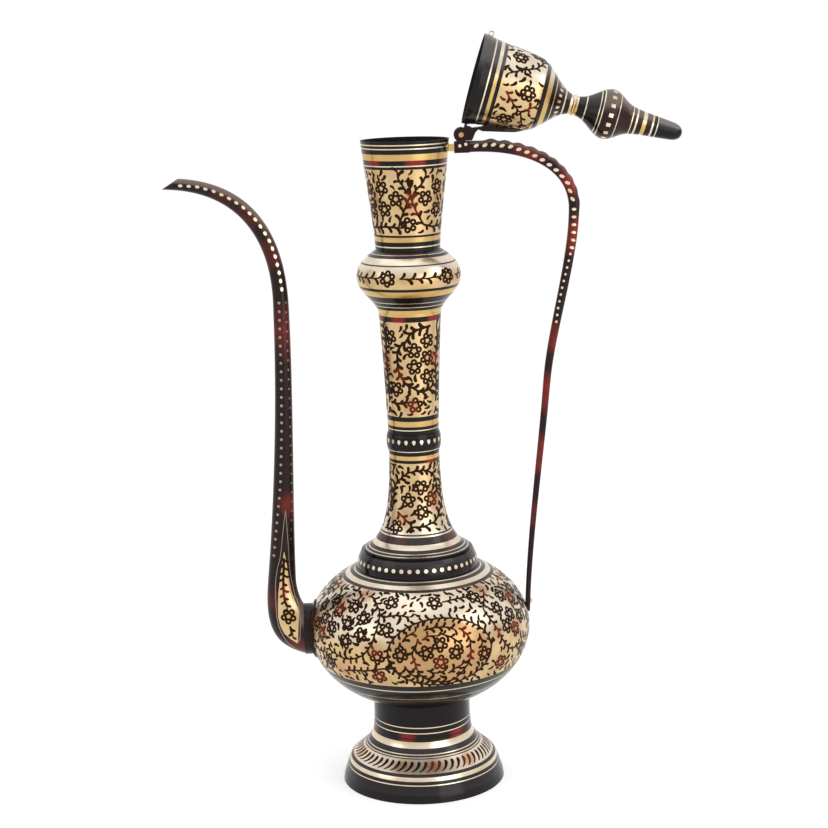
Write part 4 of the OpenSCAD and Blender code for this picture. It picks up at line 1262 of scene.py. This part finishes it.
# %% Upper neck
inlay("upper_neck_vines", smooth["upper_neck"], radius=16 * MM, foot=10.7 * MM, sizes=stretch(12, 53),
      stems=[[(41, 53), (24, 52), (12, 51), (0, 49), (-8, 45), (-20, 42), (-28, 38), (-29, 32), (-28, 27),
              (-21, 23), (-10, 19), (4, 17), (16, 15), (33, 15.5), (48, 17.5)],
             [(-53, 8.5), (-30, 8), (-10, 9)], [(60, 8), (62, 20), (58, 32), (64, 44), (60, 52)]],
      flowers=[(-44, 47), (6, 39), (6, 29.5), (34, 44.5), (34, 34.5), (34, 23.5), (-36, 16.5), (6, 7)],
      reds=[(-28, 25), (-1, 6), (56, 34)])

# %% [markdown]
# ### Lower neck
# A vine arches under the neck ring, and flowers hang below it on the widening trumpet.

# %% Lower neck
inlay("lower_neck_vines", smooth["lower_neck"], radius=16 * MM, foot=17.2 * MM,
      sizes={**stretch(18.6, 39), "Stem width": 1.1 * MM, "Leaf size": 0.92},
      stems=[[(-54, 13), (-53, 22), (-52, 26), (-44, 30), (-31, 33), (-16, 36), (0, 37), (18, 37.5),
              (32, 36.5), (46, 34), (54, 29), (55, 24)],
             [(-17, 1.2), (-12, 3.5), (-3, 4.6), (10, 4.5), (20, 5.3), (34, 6.6), (42, 8.2), (57, 13.6)],
             [(-39, 13), (-25, 10), (-20, 8.6), (-10, 6)]],
      flowers=[(12, 27.5), (-16, 20), (34, 20), (11, 13), (-38, 4)],
      dots=[(-4, 27.5, 40), (25, 28, -60), (-5, 12.5, 10), (27, 12.5, 120), (-31, 26, 60), (-31, 15.5, 0),
            (10, 20.3, 90), (42, 26.5, 30)],
      reds=[(-27, 10), (40, 20)])

# %% [markdown]
# ### Belly
# The belly carries the richest drawing: two tall vines, a cluster of flowers, and between them the oval
# medallion, whose rim is a stem of its own.

# %% Belly
RIM_STEPS = 20
rim = [(OVAL_MIDDLE[0] + OVAL_HALF[0] * cos(2 * pi * i / RIM_STEPS),
        OVAL_MIDDLE[1] + OVAL_HALF[1] * sin(2 * pi * i / RIM_STEPS)) for i in range(RIM_STEPS + 1)]
inlay("belly_vines", belly_line, radius=60 * MM, foot=BELLY_FIELD,
      sizes={**stretch(41.8, 57.5), "Sprig spacing": 3.8 * MM, "Leaf size": 0.8, "Stem width": 1.0 * MM},
      stems=[[(-36, 55), (-32, 54.5), (-27, 50), (-24, 46), (-23, 42), (-23, 37), (-24, 32), (-25, 27),
              (-28, 22), (-31, 19), (-36, 16.5), (-42, 15.5), (-47, 16.5), (-53, 18)],
             [(50, 55), (44, 48), (40, 42), (44, 30), (46, 24), (50, 18), (55, 14.7), (62, 15.5)],
             [(-24, 44.5), (-20, 43), (-16, 44), (-11, 44.3), (-6, 43.5)], [(15, 52), (25, 53), (33, 53)],
             [(-44, 7), (-36, 9), (-29, 10), (-20, 12.5), (-15, 13)], [(-32, 9), (-30, 4)], rim,
             [(21, 35), (24, 32), (26, 28), (26, 23.5), (26, 19.5), (25, 14.5), (22, 9.5)],
             [(-1, 31), (-2, 27), (-4, 22.5), (-3, 18), (-2, 13)],
             [(-2, 11.5), (2, 6.7), (10, 3.5), (16, 3.5), (20, 6.7)],
             [(2, 35.5), (8, 36.8), (14, 36.5), (18, 35)],
             [(-10, 29), (-11, 25)], [(32, 30), (33, 25)], [(11, 33), (16, 30.5), (20, 27)],
             [(3, 12), (7, 10), (11, 10.5)], [(14, 9), (17, 11.5), (20, 13)],
             [(-9, 29), (-7, 32), (-3, 34.5)], [(1, 30), (4, 32), (8, 32)], [(-8, 15), (-6, 11), (-3, 8)]],
      flowers=[(50, 41), (60, 47), (58, 35), (67, 31), (52, 29.5), (59, 25.5), (68, 42), (78, 47), (87, 41),
               (78, 36), (88, 31), (79, 26), (-18, 52.5), (-18, 35.5), (-22, 19.5), (-22, 7), (66, 11),
               (46, 9), (10, 52), (38, 52), (10, 27), (18, 21.5), (3, 22.5), (10, 16.5),
               (34, 17.7), (-10, 21.6)],
      reds=[(59, 27), (-23, 23), (68, 44), (10, 16.5), (-3, 17), (24, 33), (27, 19), (0, 32), (-9, 52),
            (-38, 55), (47, 55), (44, 28), (-44, 7), (-22, 7), (46, 9)])

# %% [markdown]
# ### Knop and foot
# The knop has one garland of flowers, and the foot a row of slanted comma strokes, some of them red. They
# use the same trees, with short drawings that are repeated more often.

# %% Knop and foot
FOOT_STROKES = 19
COMMA = [(-2.6, -3.4, 0.25), (-1.4, -2.7, 0.45), (-0.1, -1.4, 0.65), (0.8, 0.2, 0.85), (1.3, 1.6, 1.05),
         (1.3, 2.7, 0.95), (0.9, 3.4, 0.4)]
inlay("bulb_garland", smooth["neck_bulb"], radius=29.5 * MM, foot=19.1 * MM, repeats=5,
      stems=[[(-10, 6.4), (13, 6.2), (36, 6.6)]], flowers=[(-24, 6.4)],
      sizes={"Flower radius": 3.2 * MM, "Petals": 6, "Leaf spacing": 2.8 * MM, "Leaf size": 0.9,
             "Stem width": 0.8 * MM})
comma = plate("comma", stroke(COMMA))
inlay("foot_strokes", smooth["foot"], radius=36 * MM, foot=22.2 * MM,
      dots=[(THIRD / FOOT_STROKES * i, 0) for i in range(FOOT_STROKES)],
      reds=[(-24, 0), (-18, 0), (7, 0), (12, 0), (41, 0), (47, 0)], sizes={"Dot": comma})
bpy.data.objects.remove(comma)

# %% [markdown]
# ### Rows of bright cuts
# Black bands carry rows of small bright cuts, where the cutter went through the lacquer: round dots on the
# collar, drops on the neck ring, and later dashes and squares on the lid. Each row is one plate, repeated
# round the wall, and lies a little proud so that it isn't lost in the lacquer.

# %% Rows of bright cuts
CUT_LIFT = 0.06 * MM
DROP = [(0, -1.35, 0.25), (0, -0.6, 0.75), (0, 0.2, 1.05), (0, 0.9, 0.95), (0, 1.3, 0.45)]
DISC_ROWS = (-0.94, -0.6, 0, 0.6, 0.94)


def disc(half_x, half_y):
    """The rows of an oval dot."""
    return [[(half_x * t, half_y * (1 - t * t) ** 0.5 * s) for s in (-1, 0, 1)] for t in DISC_ROWS]


def cut_row(name, rows, line, radius, up, count, body="vessel"):
    """A row of bright cuts round a wall, all of one shape, at even spacing."""
    pattern = plate(name + "_pattern", rows)
    inlay(name, line, radius, up, body, finish="pale", slot="plain_brass", lift=CUT_LIFT,
          dots=[(0, 0)], repeats=count, sizes={"Dot": pattern})
    bpy.data.objects.remove(pattern)


cut_row("collar_dots", disc(1.25, 1.25), smooth["shoulder_collar"], radius=35 * MM, up=5.0 * MM, count=46)
cut_row("neck_ring_drops", stroke(DROP, 2), smooth["neck_ring"], radius=15.8 * MM, up=6.4 * MM, count=22)

# %% [markdown]
# ### Inlay of the lid
# The lid has the same flowers and vines on its bell, a row of dashes at its shoulder and a row of squares
# round the finial's widest part.

# %% Inlay of the lid
DASH = [(0, -1.2, 0.75), (0, 0, 0.75), (0, 1.2, 0.75)]
SQUARE = [(0, -1.25, 1.1), (0, 0, 1.1), (0, 1.25, 1.1)]
BELL_FIELD = (14.4 * MM, 38.4 * MM)
DASHES_UP = 49.5 * MM
SQUARES_UP = 79.4 * MM
bell = smooth["lid_bell"]
knob = smooth["finial_bulb"]
bell_foot, bell_top = (along_wall(bell, rim_height + high) for high in BELL_FIELD)
dashes_up = along_wall(bell, rim_height + DASHES_UP)
squares_up = along_wall(knob, rim_height + SQUARES_UP)
inlay("lid_vines", bell, radius=23 * MM, foot=bell_foot, body="lid", repeats=2,
      sizes={"Field foot": bell_foot + 1 * MM, "Field height": bell_top - bell_foot - 2 * MM,
             "Petals": 6, "Leaf size": 0.8, "Leaf spacing": 2.4 * MM, "Stem width": 1.0 * MM,
             "Sprig spacing": 4.2 * MM},
      stems=[[(4, 4), (24, 12), (29, 15.2), (17, 22.5)], [(29, 15.2), (52, 17.7)],
             [(-33, 6.7), (-35, 12.7), (-44, 18.3), (-62, 21.8)], [(-35, 12.7), (-22, 4)],
             [(66, 4), (73, 10), (74, 17), (84, 21)]],
      flowers=[(0, 16.5), (-53, 7.8), (49, 7.5), (-77, 18), (88, 9.5)], reds=[(22, 21), (8, 5)])
cut_row("lid_dashes", stroke(DASH, 2), bell, radius=10 * MM, up=dashes_up, count=18, body="lid")
cut_row("finial_squares", stroke(SQUARE, 2), knob, radius=14 * MM, up=squares_up, count=16, body="lid")

# %% [markdown]
# ## Spout and handle
# The spout is a cast pipe and the handle a forged bar, both filed smooth, where the solids have facets. A
# merged copy of each solid becomes quads, its sharp edges are creased, and a subdivision surface rounds the
# rest. Both hold the red dabs that show in their dark lacquer, as (x, z, reach, strength) in millimetres
# seen from the side.

# %% Spout and handle
MERGE = 0.001 * MM
QUAD_BEND = radians(40)
QUAD_SKEW = radians(60)
CREASE_FROM = radians(48)
SHARP_FROM = radians(42)
ROUNDINGS = 2
DAB_HEART = 1.4
SPOUT_DABS = [(-104, 351, 10, 0.45), (-90, 341, 11, 0.48), (-79, 319, 13, 0.55), (-68, 274, 17, 0.75),
              (-74, 171, 7, 0.9), (-84, 113, 8, 0.6), (-72, 85, 9, 0.8)]
HANDLE_DABS = [(71, 374, 10, 0.7), (98, 356, 11, 1), (98, 324, 12, 0.8), (82, 265, 10, 0.6),
               (77.5, 233, 13, 0.75), (71, 196, 13, 0.7), (64, 160, 10, 0.6)]


def creased(node):
    """A copy of a faceted node in quads, with its sharp edges creased, as a new object."""
    made = bmesh.new()
    made.from_mesh(frame["nodes"][node].data)
    bmesh.ops.remove_doubles(made, verts=made.verts, dist=MERGE)
    bmesh.ops.join_triangles(made, faces=made.faces, angle_face_threshold=QUAD_BEND,
                             angle_shape_threshold=QUAD_SKEW, cmp_seam=False, cmp_sharp=False, cmp_uvs=False,
                             cmp_vcols=False, cmp_materials=False)
    crease = made.edges.layers.float.new("crease_edge")
    for edge in made.edges:
        edge[crease] = 1.0 if edge.calc_face_angle(0) > CREASE_FROM else 0.0
    rough = bpy.data.meshes.new(node + "_rough")
    made.to_mesh(rough)
    made.free()
    return new_object(node + "_rough", rough)


def smoothed(node, finish, dabs):
    """A smooth copy of a faceted node, as a piece that stands for it."""
    holder = creased(node)
    rounding = holder.modifiers.new("rounding", "SUBSURF")
    rounding.levels = rounding.render_levels = ROUNDINGS
    mesh = evaluated(holder)
    bpy.data.objects.remove(holder)
    mesh.materials.clear()
    mesh.materials.append(FINISH[finish])
    mesh.shade_smooth()
    mesh.set_sharp_from_angle(angle=SHARP_FROM)
    hold(mesh, "red", [max(strength * clamp(DAB_HEART - hypot(v.co.x / MM - x, v.co.z / MM - z) / reach)
                           for x, z, reach, strength in dabs) for v in mesh.vertices])
    # Where spout and handle face upwards, their lacquer gets the painted sheen.
    hold(mesh, "painted_light_share", [facing_up(v.normal.z) for v in mesh.vertices])
    return hand_over(node + "_lacquered", mesh, "vessel", node)


spout = smoothed("spout", "spout", SPOUT_DABS)
handle = smoothed("handle", "handle", HANDLE_DABS)

# %% [markdown]
# ### Dots on the spout
# A row of pale dots follows the bend of the spout. Two duller rows run on down each side, since the
# straight part is where a hand steadies the ewer. The rows are drawn flat, in millimetres seen from the
# side, and pressed on.

# %% Dots on the spout
BEND = [(-128, 358.8), (-119, 358), (-110, 355.4), (-102, 351.6), (-93.5, 346), (-87.3, 339.7),
        (-82.4, 332.5), (-78.3, 324.7), (-75.6, 315.6), (-73.8, 305.6), (-72.6, 294)]
COLUMN = [(-75, 290), (-75.4, 250), (-76.6, 215), (-78.6, 184), (-80.6, 168.5), (-83, 150.8), (-85, 136)]
COLUMN_EDGE = [(-71, 290), (-71.4, 230), (-72.4, 180), (-74, 146)]


def inset(name, surface, finish="pale", slot="plain_brass", lift=CUT_LIFT, sizes=(), **drawn):
    """Draws plates on a sheet seen from the side, and presses them onto both sides of a surface."""
    sheet = drawing(name + "_drawing", MM, 0, repeats=1, **drawn)
    grow = {**PLATES, "Finish": FINISH[finish], **dict(sizes)}
    press = {"Surface": surface, "Lift": lift, "Finish": FINISH[finish]}
    laid(name, sheet, "vessel", slot, (plates_tree, grow), (press_tree, press))


def set_in(name, surface, rows, spots, finish="pale", slot="plain_brass"):
    """Presses one shape onto both sides of a surface, at each of some spots."""
    pattern = plate(name + "_pattern", rows)
    inset(name, surface, finish, slot, dots=spots, sizes={"Dot": pattern})
    bpy.data.objects.remove(pattern)


def row(path, spacing, tilt=0):
    """Spots at even spacing along a path, each turned with the path and tilted by some degrees."""
    points = [Vector(spot) for spot in path]
    lengths = lengths_along(points)
    spots = []
    for i in range(int(lengths[-1] / spacing) + 1):
        spot, out = place_on(points, lengths, i * spacing)
        spots.append((spot.x, spot.y, degrees(atan2(out.x, -out.y)) + tilt))
    return spots


set_in("spout_bend_dots", spout, disc(1.3, 0.85), row(BEND, spacing=4.8))
set_in("spout_column_dots", spout, disc(0.85, 0.85), row(COLUMN, spacing=5.0), "worn")
set_in("spout_edge_dots", spout, disc(0.7, 0.45), row(COLUMN_EDGE, spacing=5.6), "worn")

# %% [markdown]
# ### Panel on the spout
# At the elbow lies a pointed brass panel with a sprig and a flower, inside two fine worn lines that meet
# above it. The panel is one plate of many short rows, so that it bends with the elbow, and the sprig lies
# on top of it.

# %% Panel on the spout
LINE_WIDTH = 0.4 * MM
LEFT_LINE = [(-76.3, 168), (-78.1, 156.8), (-80.5, 140.2), (-82.6, 132.7), (-84.1, 123.6), (-84.4, 111.3),
             (-83.4, 99), (-79.2, 89), (-74.1, 84.2)]
RIGHT_LINE = [(-76.3, 168), (-75.6, 146.2), (-75.3, 131.5), (-73.4, 117.5), (-71.2, 110.5), (-70.2, 103),
              (-70.3, 96), (-70.9, 90)]
PANEL = [(142.6, -78.4, -78.1), (136, -79.6, -77.1), (128.6, -81, -76.4), (118, -82.6, -74.8),
         (111, -83.1, -72.6), (107, -83.2, -70.9), (103, -83.2, -71), (98, -82, -71.3),
         (93.7, -80, -71.6), (90.5, -76.2, -71.8), (88, -72.3, -71.9)]
PANEL_STEPS = 5
PANEL_ACROSS = 8
inset("spout_lines", spout, finish="worn", sizes={"Stem width": LINE_WIDTH}, stems=[LEFT_LINE, RIGHT_LINE])
ladder = [Vector(a).lerp(Vector(b), i / PANEL_STEPS)
          for a, b in zip(PANEL, PANEL[1:]) for i in range(PANEL_STEPS)]
panel_rows = [[(left + (right - left) * k / PANEL_ACROSS, up) for k in range(PANEL_ACROSS + 1)]
              for up, left, right in ladder]
set_in("spout_panel", spout, panel_rows, [(0, 0)], "field", "inlaid_brass")
inset("panel_sprig", spout, finish="vine", slot="black_lacquer", lift=3 * CUT_LIFT,
      stems=[[(-78.5, 139), (-79, 131), (-79.5, 123), (-79.2, 115), (-77.8, 110)],
             [(-76.3, 98.6), (-75.2, 93.5)]],
      flowers=[(-77, 104.3)], reds=[(-79.3, 118)],
      sizes={**motifs, "Leaf size": 0.75, "Flower radius": 2.9 * MM, "Leaf spacing": 2.2 * MM})

# %% [markdown]
# ### Dots on the handle
# Oval dots follow the bow of the handle. They lie aslant near the hinge and get smaller down the bar, where
# they stop. Two round dots sit on the fork of the hinge.

# %% Dots on the handle
BOW_TOP = [(40.5, 376.2), (50, 376.5), (60.4, 375), (70.6, 371.2), (79, 366.4), (86.7, 360.2), (92.1, 353.4),
           (95, 343.2)]
BOW_SIDE = [(95.4, 338.5), (95.2, 330), (94.9, 322), (93.8, 316.5)]
BOW_LOW = [(92.9, 313), (90.9, 305), (87.8, 293), (85.3, 281.2), (84.2, 273)]
SLANT = 28
set_in("handle_slant_dots", handle, disc(1.6, 0.95), row(BOW_TOP, spacing=4.9, tilt=SLANT))
set_in("handle_short_dots", handle, disc(0.85, 1.35), row(BOW_SIDE, spacing=4.4))
set_in("handle_small_dots", handle, disc(0.78, 0.7), row(BOW_LOW, spacing=4.0))
set_in("fork_dots", frame["nodes"]["hinge_fork"], disc(0.95, 0.95), [(31.2, 376.4), (34.6, 377.2)])

# %% [markdown]
# ## Small metal
# The flange, the hinge, the rivet and the lid's loop keep their own solids, whose shape is right, and take
# a finish each.

# %% Small metal
SMALL = {"spout_flange": "spout", "hinge_fork": "handle", "lid_strap": "handle", "hinge_pin": "brass",
         "handle_lug": "brass", "handle_rivet": "pale", "lid_loop": "pale", "finial_nut": "brass"}
for node, finish in SMALL.items():
    for slot in frame["nodes"][node].material_slots:
        slot.material = FINISH[finish]
    print(node, "in", finish)

# %% [markdown]
# ## Handing over
# The motifs were only patterns to copy, so they go before the pieces are handed over.

# %% Handing over
for motif in motifs.values():
    bpy.data.objects.remove(motif)
